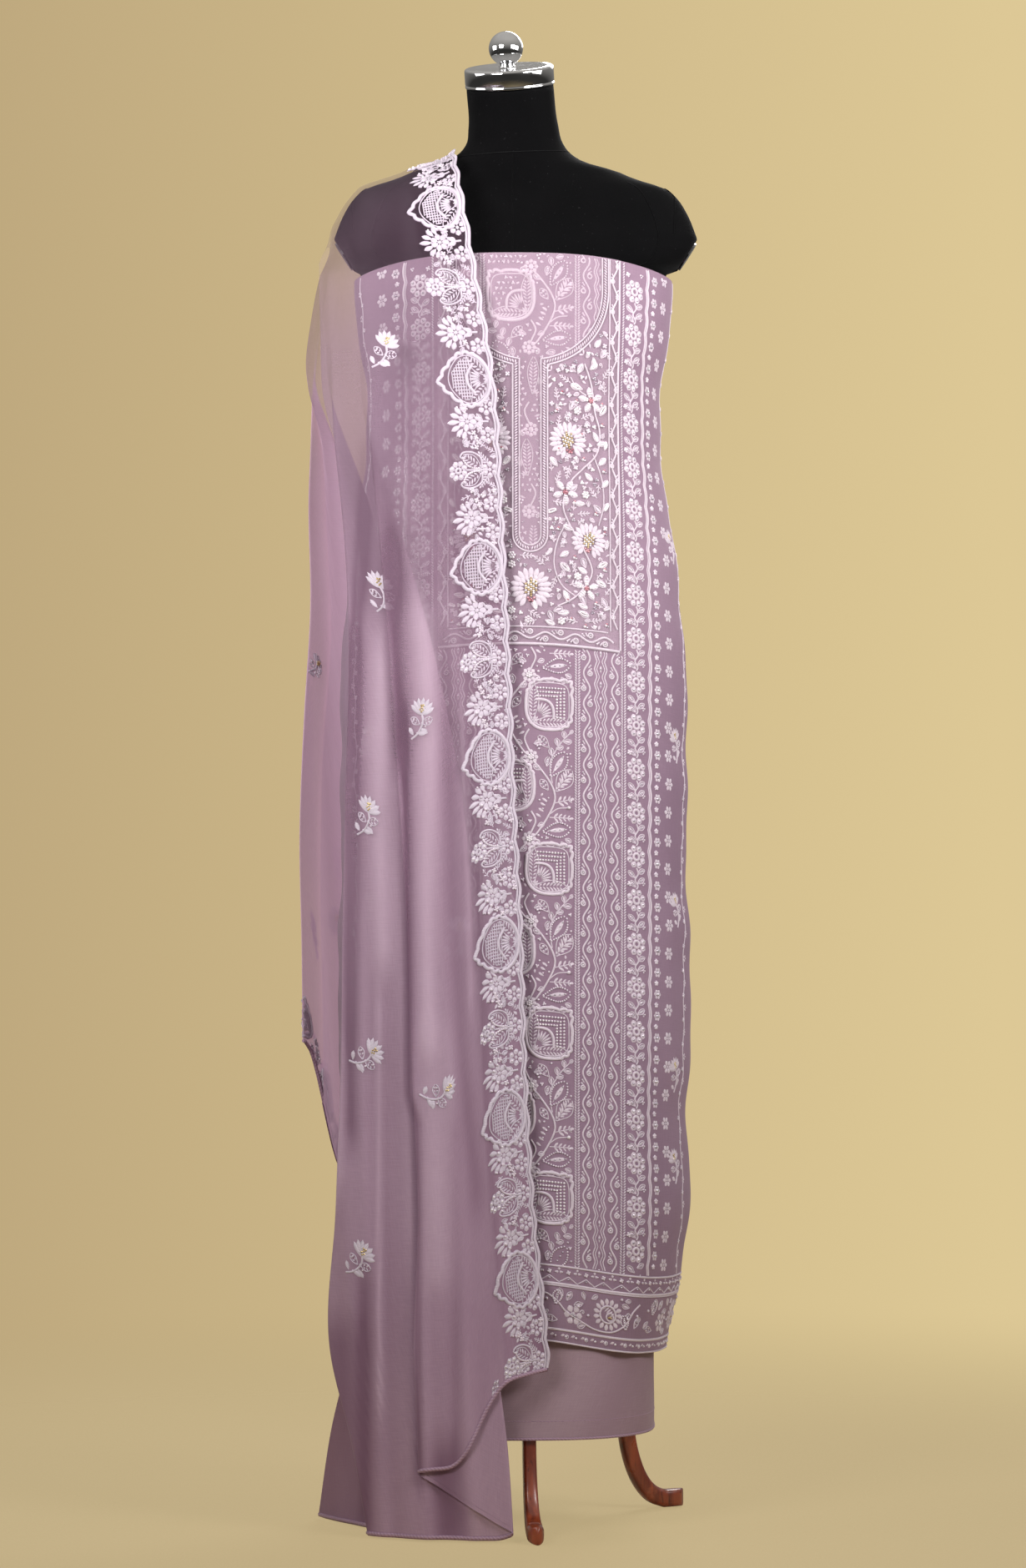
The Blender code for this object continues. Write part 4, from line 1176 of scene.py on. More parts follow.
def vine_half():
    """Half a period of the middle panel: one bud, a pearl flower, its stem and its leaves."""
    m = Motif()
    m.add(fan_bud(50, 54, PEARL), -4.5, -26)
    m.add(rosette(8, 3.2, 8.2, 4.2, 3), 1, -56)
    m.add(knots(6, 2.4, 1.25, True, PEARL), 1, -56)
    m.stem(0.8, 0.9, (-1, -26), (-6, -36), (-2, -47), (1, -52))
    m.stem(0.85, 0.9, (3, -60), (13, -71), (24, -87), (27, -102), (19, -121), (8, -138),
           (2.5, -143), count=34)
    m.many(leaf, (22, -77, 58, 33, 16, True, 13), (28, -93, 55, 31, 18, False))
    m.petal(np.linspace(31, 40, 6), np.linspace(-89, -76, 6), 55 + np.array([28, -28] * 3), 7, 2.6, 0.7, 1.1)
    m.add(leaf(32, 15, dots=13), 13.5, -137, 10)
    m.many(spray, (21, -121, 2, 22, 4, 7.5), (27, -105, 17, 17, 3, 8.5))
    m.stem(0.45, 0.7, (22, -117), (30, -111), (41, -109)).bead(42.5, -108.8, 1.7, PEARL)
    m.stem(0.5, 0.8, (24, -84), (22, -62), (32, -42), (44, -28))
    for x, y, turn, size in (
        (24, -55, 100, 10), (28, -46, 15, 9), (31, -44, 105, 10), (36, -38, 5, 10), (38, -35, 100, 9),
        (43, -29, 45, 6),
    ):
        m.add(plain_leaf(size, size * 0.55), x, y, turn)
    m.many(leaf, (21, -46, 133, 18, 9), (20, -92, 128, 15, 8), (12, -70, 150, 10, 5.5), (18, -66, 80, 11, 6))
    m.many(plain_leaf, (4, -42, 20, 9, 5), (-8, -42, 160, 8, 5))
    m.bead([8, 11, 9.5, -7, -9, 14], [-44, -43, -47, -60, -52, -83], 1.1)
    m.curl(7, -146, -25, 4.6, -1, 0.6)
    m.add(leaf(11, 5.5), 17, -151, 12)
    m.many(plain_leaf, (34, -146, -60, 8, 5), (38, -143, -20, 8, 5))
    m.curl(-6, -57, 170, 4, 1, 0.6)
    m.bead([45, 45, 44], [-64, -101, -121], 0.9)
    m.bead([20, 17.5, 15.5, 14], [-100, -104, -108, -112], 0.8)
    return m.petal([19, 17, 15, 12], [-104, -109, -115, -121], 150, 7, 2.4, 0.7)


def scroll_half():
    """Half a period of the scroll band: a ring in the wave's hollow, with two knotted ticks."""
    m = Motif().ring(-3.6, 0, 2.4, 13, 0.75, 1).bead(-3.6, 0, 0.8, PEARL)
    for y, heading in ((5.6, 130), (2.6, 145)):
        x, rise = on_circle(heading, 4.2)
        m.petal(-1.6, y, heading, 4.2, 1.5, 0.7, 0.8).bead(x - 1.6, y + rise, 0.8)
    return m


def vine_flower():
    """A period of the flower vine: eight looped petals, each with a bead, and two leaves below."""
    m = rosette(8, 5.2, 13, 6.4, 0, SILVER, 0.5, 22.5).ring(0, 0, 3.6, 15, 1.3, 1)
    m.many(leaf, (1.6, -18, 28, 11, 5.4), (-1, -23, 146, 12, 5.4), (1, -29, 34, 12, 5.4),
           (-0.6, -33, 140, 10, 5.4))
    m.add(knots(4, 1.8, 1), -9.5, 17)
    m.add(knots(3, 1.4, 0.8, False), 9.5, 19)
    return m.stem(0.7, 0.9, (0, -12), (2.4, -18), (-1.8, -25), (1.8, -31), (0, -35.3))


def blossom():
    """A full round blossom, its foot at (0, 0): two rings of petals round a beaded, egg-shaped heart."""
    m = Motif()
    both = ((17, 9.5, 21, 4.7, 1, 150), (13, 7, 14, 3.9, 1.6, 142))
    for count, near, far, wide, high, turn in both:
        a = np.linspace(90 - turn, 90 + turn, count)
        x, y = on_circle(a, near)
        m.petal(x, 13 + y, a, far - near, wide, 0.7, high)
    x, y = np.meshgrid(np.arange(-7.5, 7.6, 2.5), np.arange(-8.8, 8.9, 2.2))
    heart = np.hypot(x, y * 0.80) < 7.2
    x, y = x[heart], 14 + y[heart] + 0.25 * x[heart]
    m.bead(x[::2], y[::2], 0.95, GOLD).bead(x[1::2], y[1::2], 0.95, PEARL)
    return m.bead([-3, 0, 3, 1.5, -1.5], [3, 2, 3.2, 0.2, 0.5], 1.1, ROSE)


def pearl_flower():
    """Five pointed petals of close pearls round a rose-coloured heart."""
    m = Motif()
    one = Motif().petal(2.2, 0, 0, 12.5, 6.6, 0.9, 1.1)
    one.bead([4.6, 4.6, 7.2, 7.2, 7.2, 9.8, 9.8, 12.2], [-1, 1, -1.5, 0, 1.5, -1, 1, 0], 1, PEARL)
    for k in range(5):
        m.add(one, 0, 0, 72 * k + 18)
    return m.add(knots(5, 1.9, 0.95, True, ROSE))


def pearl_leaf(length):
    """A leaf of close pearl grains in two rows inside a corded rim."""
    at = np.linspace(0.22, 0.84, 6)
    off = 0.10 * length * np.sin(pi * at)
    grains = (np.tile(at * length, 2), np.concatenate([off, -off]))
    return plain_leaf(length, length * 0.46).bead(*grains, 0.055 * length + 0.15, PEARL)


def yoke_side():
    """One side of the yoke's ground, from the middle line: blossoms, pearl flowers, stems and leaves.

    The frame's x is the flat u and its y is minus the flat v, in millimetres.
    """
    m = Motif()
    m.add(blossom(), 44, -216, 12)
    m.add(blossom(), 63, -322, -8, 0.95)
    m.many(pearl_flower, (67.5, -157, 10), (38.5, -259, 40), (62, -362, 0))
    m.stem(0.7, 0.9, (60, -118), (68, -140), (72, -168), (78, -190), (74, -214), (58, -232), (44, -248),
           (36, -272), (42, -292), (60, -322), (68, -346), (50, -372), (30, -384), count=70)
    m.stem(0.5, 0.8, (44, -134), (52, -146), (62, -152))
    m.stem(0.5, 0.8, (70, -215), (80, -240), (82, -268), (76, -292))
    m.stem(0.5, 0.8, (40, -292), (30, -312), (26, -338), (34, -360), (50, -372))
    m.many(
        pearl_leaf,
        (52, -130, 62, 13), (66, -124, 40, 12), (58, -146, 165, 15), (78, -172, 60, 15),
        (74, -204, 20, 12), (76, -226, 45, 13), (60, -236, -40, 12), (30, -232, 130, 13),
        (30, -278, 200, 14), (48, -300, 160, 13), (80, -250, 50, 12), (82, -276, 60, 12),
        (74, -338, 30, 14), (72, -352, -25, 14), (44, -346, 140, 15), (32, -330, 30, 12),
        (36, -366, -60, 13), (80, -384, 25, 12), (52, -388, -20, 14), (30, -392, 10, 13),
        (84, -318, 75, 12), (84, -208, 80, 10),
    )
    for x, y, turn in (
        (44, -140, 150), (56, -178, 30), (30, -190, 80), (28, -250, 70), (74, -262, 130), (52, -282, 10),
        (28, -352, 250), (84, -356, 60), (66, -398, 15), (84, -148, 95), (82, -132, 60), (30, -160, 100),
    ):
        m.add(spray(11, 3, 5), x, y, turn)
    for x, y in (
        (50, -160), (34, -152), (80, -160), (58, -222), (82, -232), (48, -270), (72, -280), (30, -300),
        (48, -330), (82, -300), (82, -340), (40, -378), (72, -378), (84, -400), (44, -398), (60, -404),
        (30, -214), (28, -172), (80, -182), (56, -196),
    ):
        m.bead([x, x + 2.4, x + 1], [y, y - 0.8, y + 1.8], [1.2, 1, 1], [PEARL, SILVER, ROSE])
    for x, y, turn in ((34, -170, 120), (80, -120, 60), (36, -214, 200), (80, -330, 100), (26, -372, 150)):
        m.curl(x, y, turn, 3.6, 1, 0.45, 0.7)
    return m


def kameez_front_work(cloth, thread, beads):
    """The front's base embroidery: middle vine, columns either side, and the hem border."""
    work = Work(cloth, above_border)
    at = 0.493 + PERIOD * np.arange(-3, 4)
    work.stamp(vine_half(), 0, at, within=in_middle)
    work.stamp(vine_half(), 0, at + PERIOD / 2, flip=-1, within=in_middle)
    v = np.arange(0.002, BORDER_TOP, 0.0022)
    saw = np.abs((v / SCROLL_STEP) % 1 * 2 - 1)
    scallop = 0.0022 * np.abs(np.sin(pi * v / SMALL_STEP))
    rings, middles, flowers, small, edge = (
        np.arange(start, BORDER_TOP, step)
        for start, step in ((0.006, SCROLL_STEP), (SCROLL_STEP, SCROLL_STEP), (0.030, VINE_STEP),
                            (0.012, SMALL_STEP), (0.02, EDGE_STEP))
    )
    diamond = Motif().petal(0, -4, 90, 8, 2.2, 0.9, 0.8).bead(0, 0, 0.8, SILVER)
    ringlet = rosette(6, 1, 3.6, 2.2).bead(0, 0, 0.9, SILVER)
    daisy = rosette(6, 1.6, 7.6, 4, 1.4, None, 0.5)
    for mirror in (-1, 1):
        for column in LADDERS:
            work.braid(np.array([(column, 0.001), (column, BORDER_TOP)]), 3.7, 2.9, mirror)
        for column, way in zip(SCROLLS, (1, -1)):
            wave = 0.0036 * np.cos(pi * (v - 0.006) / SCROLL_STEP) * way
            work.line(mirror * column + mirror * wave, v, 0.75, 0.9)
            for first in (0, 1):
                flip = (1 if first == 0 else -1) * mirror * way
                work.stamp(scroll_half(), mirror * column, rings[first::2], flip=flip)
        for near, far, wide in ((0.0074, 0.0044, 0.5), (0.0048, 0.0014, 0.35)):
            for sign in (-1, 1):
                work.line(mirror * LOZENGES + sign * (far + (near - far) * saw), v, wide, 0.7)
        work.stamp(diamond, mirror * LOZENGES, middles)
        work.stamp(vine_flower(), mirror * FLOWER_VINE, flowers, flip=mirror)
        work.line(mirror * (WAVY_LINE + scallop), v, 1.15, 1.1)
        work.line(mirror * (WAVY_LINE - 0.0024 + scallop), v, 0.45, 0.8)
        work.stamp(ringlet, mirror * (SMALL_FLOWERS + 0.0015), small, size=1.55)
        work.stamp(knots(5, 1.9, 1), mirror * (SMALL_FLOWERS - 0.001), small + SMALL_STEP / 2)
        work.stamp(daisy, mirror * ROSETTES, v[::14] + 0.004)
        work.line(mirror * (EDGE_VINE + 0.0022 * np.sin(pi * v / EDGE_STEP)), v, 0.45, 0.8)
        work.stamp(rosette(5, 1, 4, 2.4), mirror * (EDGE_VINE + 0.003), edge)
        work.stamp(knots(4, 1.6, 0.95), mirror * (EDGE_VINE - 0.003), edge + EDGE_STEP / 2)
        work.stamp(field_sprig(), mirror * SPRIG_COLUMN, [0.30, 0.52, 0.70, 0.88, 0.98], turn=20 * mirror,
                   size=0.8)
    work.within = everywhere
    hem_border(work)
    # No pearl lies under the yoke.
    for index, rows in enumerate(work.beads):
        hidden = (np.abs(rows[:, 0]) < YOKE_OUT) & (rows[:, 1] < YOKE_LOW) & (rows[:, 3] == PEARL)
        work.beads[index] = rows[~hidden]
    small = [knots(3, 1.2, 0.8), Motif().petal(-2.2, 0, 0, 4.4, 2.2, 0.7), Motif().bead(0, 0, 0.9)]
    places = lattice((-0.047, 0.048), (0.004, BORDER_TOP), 0.0052, 0.0058)
    work.fill(small, places, 0.0034, in_middle)
    work.sew("kameez_front", thread, beads)


def hem_border(work):
    """A kameez hem's border: two corded lines, knots over a zigzag, a flowering vine, an edge band."""
    u = np.arange(-BORDER_REACH, BORDER_REACH, 0.0035)
    for v, wide in ((BORDER_TOP, 0.9), (1.1165, 1.2), (1.1185, 0.6), (1.1655, 1.2), (1.1790, 0.8)):
        work.line(u, v, wide, 1)
    fine = np.arange(-BORDER_REACH, BORDER_REACH, 0.0021)
    work.line(fine, 1.1145 - 0.0065 * np.abs((fine / BORDER_STEP) % 1 * 2 - 1), 0.45, 0.8)
    at = np.arange(-12, 13) * BORDER_STEP
    work.stamp(knots(4, 1.5, 0.95), at, 1.1035)
    trefoil = rosette(3, 0.6, 3.8, 2.6, 0, None, 0.5, 90).bead([-3.6, 3.6], -1.2, 0.8)
    work.stamp(trefoil, at + BORDER_STEP / 2, 1.1025)
    work.stamp(Motif().bead(0, 0, 0.9, SILVER), at, 1.1108)
    vine = rosette(15, 9.5, 17.5, 4.2, 0, None, 0.8).ring(0, 0, 9.2, 25, 0.9, 1)
    vine.petal(np.linspace(-6, 2, 5), np.linspace(5, -3, 5), 45, 8, 1.8, 0.7, 0.7)
    vine.ring(2.5, -2.5, 4.2, 15, 0.7, 0.9).bead([2.5, 4, 1], [-2.5, -3.5, -3], [1.1, 0.8, 0.8], GOLD)
    vine.add(rosette(6, 3.4, 11, 6.4, 3.2, None, 0.6), -42, -6)
    vine.bead([-42, -44, -40, -42], [-6, -5, -7, -8], 0.9, SILVER)
    vine.many(leaf, (-62, 3, 80, 16, 9, True, 8), (22, -14, 100, 16, 9, True, 8))
    vine.stem(0.8, 0.9, (-90, 8), (-74, 14), (-60, 6), (-50, -4), (-32, -12), (-14, -18), (6, -18), (22, -8),
              (32, 6), (42, 14), count=46)
    for x, y, turn, size in (
        (-54, 12, 120, 10), (-50, 8, 60, 12), (-30, 8, 200, 12), (-28, 12, 110, 9), (-26, -14, 200, 12),
        (-70, -4, 220, 12), (-60, -14, 170, 14), (26, 10, 170, 10), (34, -12, 60, 14), (36, -4, 20, 10),
        (-20, 14, 30, 9), (20, 16, 10, 8),
    ):
        vine.add(plain_leaf(size, size * 0.5), x, y, turn)
    vine.bead([-48, -24, 24, 38, -72, -36, 16], [14, -4, -2, 2, 8, 4, 18], 1.3)
    vine.curl(-34, -2, 60, 4, -1).curl(28, 2, 130, 4, 1)
    work.stamp(vine, 0.090 + np.arange(-3, 3) * 0.132, 1.1415)
    band = np.arange(-BORDER_REACH, BORDER_REACH, 0.012)
    work.stamp(Motif().petal(-2.6, 0, 25, 5.5, 2.4, 0.7).bead(3.6, 0, 1, PEARL), band, 1.1722)
    work.stamp(Motif().ring(0, 0, 1.9, 11, 0.5, 0.8).bead(0, 0, 0.6, SILVER), band[::2] + 0.0045, 1.1722)


def field_sprig():
    """A scattered sprig: a fanned bud with a beaded heart, broad leaves and a curved stem."""
    a = np.linspace(28, 152, 7)
    x, y = on_circle(a)
    m = Motif().petal(0.8 * x, 11, a, 14 + 5 * y, 5.4, 0.55, 1)
    m.petal(0, 11, [62, 90, 118], 9, 3.4, 0.6, 1.7)
    m.stem(1, 0.9, (0, 13), (3, 4), (-1, -9), (-9, -18))
    m.many(plain_leaf, (1, 2, 20, 15, 8.5), (0, 0, 160, 14, 8))
    m.petal([-4, -7, 1], [-10, -13, -4], [10, 140, -20], [13, 10, 11], 5.5, 0.65, 0.9)
    m.bead([0, -1.9, 1.9, 0, -1.2, 1.4], [14.5, 16.5, 16.5, 18.8, 21, 21.5], 1.3, GOLD)
    return m.bead([7, -9, 11], [-1, 4, 9], 1)


def neck_path(out):
    """Half the neckline, offset outwards: straight from the top edge, round the bowl, down the slit."""
    radius, half = NECK_RADIUS + out, SLIT_HALF + out
    x, y = on_circle(np.degrees(np.linspace(0, acos(half / radius), 40)), radius)
    top = pairs(radius, np.linspace(0.0012, NECK_AT, 8))
    down = pairs(half, np.linspace(NECK_AT + y[-1], SLIT_LOW, 60)[1:])
    a, b = on_circle(np.linspace(0, 90, 12)[1:], half)
    return np.concatenate([top[:-1], pairs(x, NECK_AT + y), down, pairs(a, SLIT_LOW + b)])


def yoke_piece(front, look):
    """The yoke: its own sheer layer, 1.6 mm off the front's face, from the top edge to its square foot."""
    v = np.linspace(0, YOKE_LOW, 110)
    grid_u, grid_v = np.meshgrid(np.linspace(-0.1010, YOKE_OUT, 60), v)
    points = front.lay(grid_u, grid_v, 0.0016)
    piece = grid_piece("kameez_yoke_layer", points, look, flat_map(grid_u, v))
    return piece, Cloth(points, grid_u, v, 0.0034)


def yoke_ground(u, v):
    """The flowered ground: inside the corded frame and outside the neckline's braid."""
    return ~in_neckline(u, v, 0.0085) & (np.abs(u) < 0.0885) & (v < 0.4060)


def yoke_work(cloth, thread, beads):
    """The yoke's embroidery: braided neckline, corded frame with a scroll band, and the flowered ground."""
    work = Work(cloth)
    work.stamp(yoke_side(), [0, 0], 0, flip=[1, -1], within=yoke_ground)
    work.stamp(blossom(), 0.001, 0.380, size=1.1, within=yoke_ground)
    at = np.arange(0.008, 0.404, SCROLL_STEP)
    fine = np.arange(0.0015, 0.404, 0.0021)
    for mirror in (-1, 1):
        for out, wide in ((0.0004, 0.55), (0.0076, 0.65)):
            path = neck_path(out)
            work.line(mirror * path[:, 0], path[:, 1], wide, 1.2)
        work.braid(neck_path(0.0040), 2.7, 3, mirror, rope=True)
        for out, low, wide, high in ((0.0895, 0.4075, 0.55, 1), (0.1012, 0.4265, 0.9, 1.1)):
            work.line(mirror * out, np.arange(0.0012, low, 0.004), wide, high)
        wave = 0.0028 * np.cos(pi * (fine - 0.008) / SCROLL_STEP)
        work.line(mirror * (0.0955 + wave), fine, 0.75, 0.9)
        for first, flip in ((0, -1), (1, 1)):
            work.stamp(scroll_half(), mirror * 0.0957, at[first::2], size=0.85, flip=mirror * flip)
    work.line(np.arange(-0.0895, 0.0896, 0.004), 0.4075, 0.55, 1)
    work.line(np.arange(-0.1000, 0.1013, 0.004), 0.4262, 1.1, 1.1)
    fine = np.arange(-0.094, 0.0941, 0.0021)
    work.line(fine, 0.4168 + 0.0034 * np.cos(pi * fine / SCROLL_STEP), 0.9, 1)
    at = np.arange(-5, 6) * SCROLL_STEP
    for first, flip in ((0, 1), (1, -1)):
        work.stamp(scroll_half(), at[first::2], 0.4168, turn=90, size=1.05, flip=flip)
    large = [spray(11.5, 3, 6), pearl_leaf(12), plain_leaf(11.5, 6), knots(6, 2.9, 1.3, True, PEARL)]
    places = lattice((-0.083, 0.084), (0.060, 0.402), 0.0090, 0.0100, shift=False)
    work.fill(large, places, 0.0054, yoke_ground)
    small = [
        spray(7, 2, 4.4), knots(4, 1.7, 1), plain_leaf(7, 3.6), knots(3, 1.3, 1, True, PEARL),
        Motif().petal(-2.6, 0, 0, 5.2, 2.4, 0.7), knots(3, 1.3, 0.8, False, SILVER),
    ]
    work.fill(small, lattice((-0.087, 0.088), (0.060, 0.405), 0.0048, 0.0052), 0.0033, yoke_ground)
    work.sew("yoke", thread, beads)


def kameez_back_work(cloth, thread, beads):
    """The back: rows of knotted rosettes set in staggered columns, and the front's hem border."""
    work = Work(cloth)
    for k in range(13):
        places = np.arange(0.03 + (k % 2) * 0.016, BORDER_TOP - 0.01, 0.032)
        work.stamp(rosette(6, 1.7, 6.2, 3.1, 1, None, 0.5), (k - 6) * 0.034, places)
    hem_border(work)
    work.sew("kameez_back", thread, beads)


def border_bud():
    """The dupatta border's bud, its foot on the edge side: scalloped rim, net to one side, ribs within."""
    return Motif().add(fan_bud(47, 47, "net", 1.8, 0), 0, -4, 45).stretched(1.22, 0.98)


def spiky_cluster():
    """A starburst of pointed petals over curls and knots, its stalk at (0, 0), opening along +y."""
    a = np.arange(18, 163, 24)
    x, y = on_circle(a)
    m = Motif().petal(9 * x, 17 + 7 * y, a, [9, 10, 11, 13, 11, 10, 9], 4.6, 0.8, 1.2)
    m.add(rosette(7, 2, 9.5, 5, 2, None, 0.5, 12), 0, 17)
    m.bead(9 * x[::2], 17 + 6.4 * y[::2], 1.2)
    m.petal(0, 1, [64, 116], 10, 3.6, 0.7, 1)
    for side in (-1, 1):
        m.curl(side * 1, 2, 90 - side * 75, 3.6, side, 0.7, 0.9)
        m.curl(side * 4, 9.5, 90 - side * 90, 3, side, 0.6, 0.9)
        m.bead([side * 15.5, side * 14], [22, 26], 1)
    return m.cord([(0, -4), (0, 0), (0, 6)], 0.9, 0.9)


def leaf_pair():
    """Two comma leaves with knotted rims either side of a stalk that ends in an eight-looped flower."""
    m = Motif().cord([(0, 0), (0, 8), (0, 16), (0, 25)], 0.8, 0.9)
    m.add(rosette(8, 4, 11, 5.8, 0, PEARL, 0.5, 22.5), 0, 34)
    m.ring(0, 34, 2.6, 13, 1.2, 0.9)
    at = np.linspace(0.12, 0.92, 10)
    off = 6.3 * np.sin(pi * at**1.2) ** 0.7
    for side in (-1, 1):
        heading = 90 - side * 34
        m.add(plain_leaf(26, 13.5), side * 1.5, 7, heading)
        m.add(Motif().bead(26 * at, side * off, 1.1), side * 1.5, 7, heading)
        corners = ((2, 7), (13, 8), (19, 17), (19, 27), (15, 31), (12.5, 28), (15, 26))
        m.stem(0.8, 0.9, *((side * x, y) for x, y in corners), count=30)
        m.add(spray(15, 4, 6), side * 5, -1, 90 - side * 52)
    return m


def edge_flower():
    """A round flower of six looped petals that hugs the corded edge."""
    return rosette(6, 2.4, 8.4, 4.9, 1.8, None, 0.5, 30).bead(*on_circle(60 * np.arange(6) + 30, 5.6), 0.9)


def dupatta_work(cloth, thread, beads):
    """The dupatta: a corded scalloped edge, a border along both long edges and the ends, and sprigs.

    On the hung cloth u runs away from the edge, so a motif that opens along +y is turned a quarter
    to open along u. Between two buds come a starburst, a leaf pair and a starburst.
    """
    work = Work(cloth)
    long = cloth.v[-1]
    v = np.arange(0.004, long - 0.003, 0.0022)
    for offset, wide in ((0.0016, 1.45), (0.0050, 0.9)):
        work.line(offset + edge_wave(v), v, wide, 1.2)
    work.stamp(border_bud(), 0.0005, BUDS, turn=-90)
    between = (
        (spiky_cluster, 0.0165, (0.26, 0.774), -90, 1.12), (leaf_pair, 0.0150, (0.517,), -90, 1),
        (edge_flower, 0.0135, (0.183, 0.334, 0.517, 0.70, 0.851), 0, 1.12),
        (lambda: spray(9, 3, 4.5), 0.0075, (0.149, 0.425, 0.61, 0.885), -30, 1),
    )
    for shape, u, shares, turn, size in between:
        for share in shares:
            work.stamp(shape(), u, BUDS[:-1] + share * np.diff(BUDS), turn=turn, size=size)
    u, v, turn = SPRIGS.T
    work.stamp(field_sprig(), u, v, turn=165 - turn, size=0.92)
    work.stamp(edge_flower(), [0.014, 0.032, 0.052, 0.075], 0.0100, size=0.9)
    at = 0.10 + 0.104 * np.arange(9)
    work.stamp(border_bud(), at, long - 0.0035, size=0.9)
    work.stamp(spiky_cluster(), at + 0.052, long - 0.012, size=0.9)
    for shift in (0.034, 0.070):
        work.stamp(edge_flower(), at + shift, long - 0.0110)
    # Small leaves, curls and knots close up the border between its large motifs.
    small = [plain_leaf(8, 4.2), spray(8, 2, 4.8), knots(4, 1.9, 1.1), Motif().petal(-3, 0, 0, 6,
                                                                                         2.8, 0.7)]
    places = lattice((0.008, 0.041), (BUDS[0] - 0.04, BUDS[-1] + 0.04), 0.0048, 0.0052)
    work.fill(small, places, 0.0028, cloth.holds)
    work.sew("dupatta", thread, beads)


def hem_rolls(name, cloth, places, half_wide, high, look):
    """Rolled hems or stitched lines across a cloth, at lengths along it: cords of its own stuff."""
    work = Work(cloth)
    across = np.arange(0, 1.2, 0.0035)
    for v in places:
        u = across[None, cloth.holds(across, v + 0 * across)]
        work.cords.append((u, v + 0 * u, half_wide * MM, high * MM))
    points, faces, uv = joined([work.cord_mesh(*cord) for cord in work.cords])
    return new_piece(name, points, faces, look, uv)


def srgb(*eight_bit):
    """Linear colour from 0 to 255 sRGB values."""
    share = np.array(eight_bit) / 255
    return tuple(np.where(share < 0.04045, share / 12.92, ((share + 0.055) / 1.055) ** 2.4))


class Graph:
    """A node tree being built: each method places a node and gives back its output."""

    def __init__(self, tree):
        self.tree = tree
        tree.nodes.clear()

    def join(self, value, socket):
        """Links another socket, or sets a plain value; a colour gets its fourth number."""
        if isinstance(value, bpy.types.NodeSocket):
            self.tree.links.new(value, socket)
        else:
            socket.default_value = (*value[:3], 1) if socket.type == "RGBA" else value

    def add(self, kind, links=None, **settings):
        """A node of any kind, whole."""
        node = self.tree.nodes.new("ShaderNode" + kind)
        for key, value in settings.items():
            setattr(node, key, value)
        for key, value in (links or {}).items():
            self.join(value, node.inputs[key])
        return node

    def sum(self, operation, first, second=0.0, *third):
        return self.add("Math", dict(enumerate((first, second, *third))), operation=operation).outputs[0]

    def times(self, value, factor, *plus):
        """A value times a factor, with a third value added when given."""
        return self.sum("MULTIPLY_ADD" if plus else "MULTIPLY", value, factor, *plus)

    def clamp(self, value):
        return self.add("Clamp", {0: value}).outputs[0]

    def ramp(self, value, low, high, start=0.0, end=1.0):
        """A value carried evenly from low..high to start..end, and held beyond."""
        return self.add("MapRange", {0: value, 1: low, 2: high, 3: start, 4: end}).outputs[0]

    def flat(self):
        """The cloth's flat map."""
        return self.add("UVMap", uv_map="flat").outputs[0]

    def place(self):
        """The point on the object."""
        return self.add("TexCoord").outputs["Object"]

    def parts(self, vector):
        return self.add("SeparateXYZ", {0: vector}).outputs

    def scaled(self, place, stretch):
        """A place scaled along each axis."""
        return self.add("Mapping", {0: place, 3: stretch}).outputs[0]

    def noise(self, place, scale, detail, stretch=None, **more):
        """Cloudy noise at a place, which is first scaled along each axis when a stretch is given."""
        place = self.scaled(place, stretch) if stretch else place
        return self.add("TexNoise", {"Vector": place, "Scale": scale, "Detail": detail, **more}).outputs[0]

    def mix(self, share, first, second):
        return self.add("Mix", {0: share, 6: first, 7: second}, data_type="RGBA").outputs[2]

    def blend(self, share, first, second):
        """The first shader, changing to the second by a share."""
        return self.add("MixShader", {0: share, 1: first, 2: second}).outputs[0]


def shader_group(name, inputs, outputs):
    """A new node group with named sockets; each input is (name, kind, default)."""
    tree = bpy.data.node_groups.new(name, "ShaderNodeTree")
    for label, kind, value in inputs:
        socket = tree.interface.new_socket(label, in_out="INPUT", socket_type="NodeSocket" + kind)
        socket.default_value = value
    for label in outputs:
        tree.interface.new_socket(label, in_out="OUTPUT", socket_type="NodeSocketFloat")
    graph = Graph(tree)
    return graph, tree.nodes.new("NodeGroupInput").outputs, tree.nodes.new("NodeGroupOutput").inputs


def weave_group():
    """Plain weave on the flat map: two crossing sine waves of thread, with slubs, as a height."""
    inputs = [("Flat", "Vector", (0, 0, 0)), ("Threads per metre", "Float", 1400.0), ("Slub", "Float", 0.4)]
    graph, given, put = shader_group("plain_weave", inputs, ("Height", "Shade"))
    parts = graph.parts(given["Flat"])
    turn = graph.times(given["Threads per metre"], pi)
    across, along = (graph.sum("SINE", graph.times(parts[k], turn)) for k in (0, 1))
    threads = graph.times(across, along)
    slubs = graph.noise(given["Flat"], 1.0, 3.0, (60.0, 900.0, 1.0))
    ends = graph.noise(given["Flat"], 1.0, 3.0, (900.0, 60.0, 1.0))
    streaks = graph.times(graph.sum("SUBTRACT", graph.sum("ADD", slubs, ends), 1.0), given["Slub"])
    graph.join(graph.sum("ADD", graph.times(threads, 0.5), streaks), put["Height"])
    graph.join(streaks, put["Shade"])
    return graph.tree


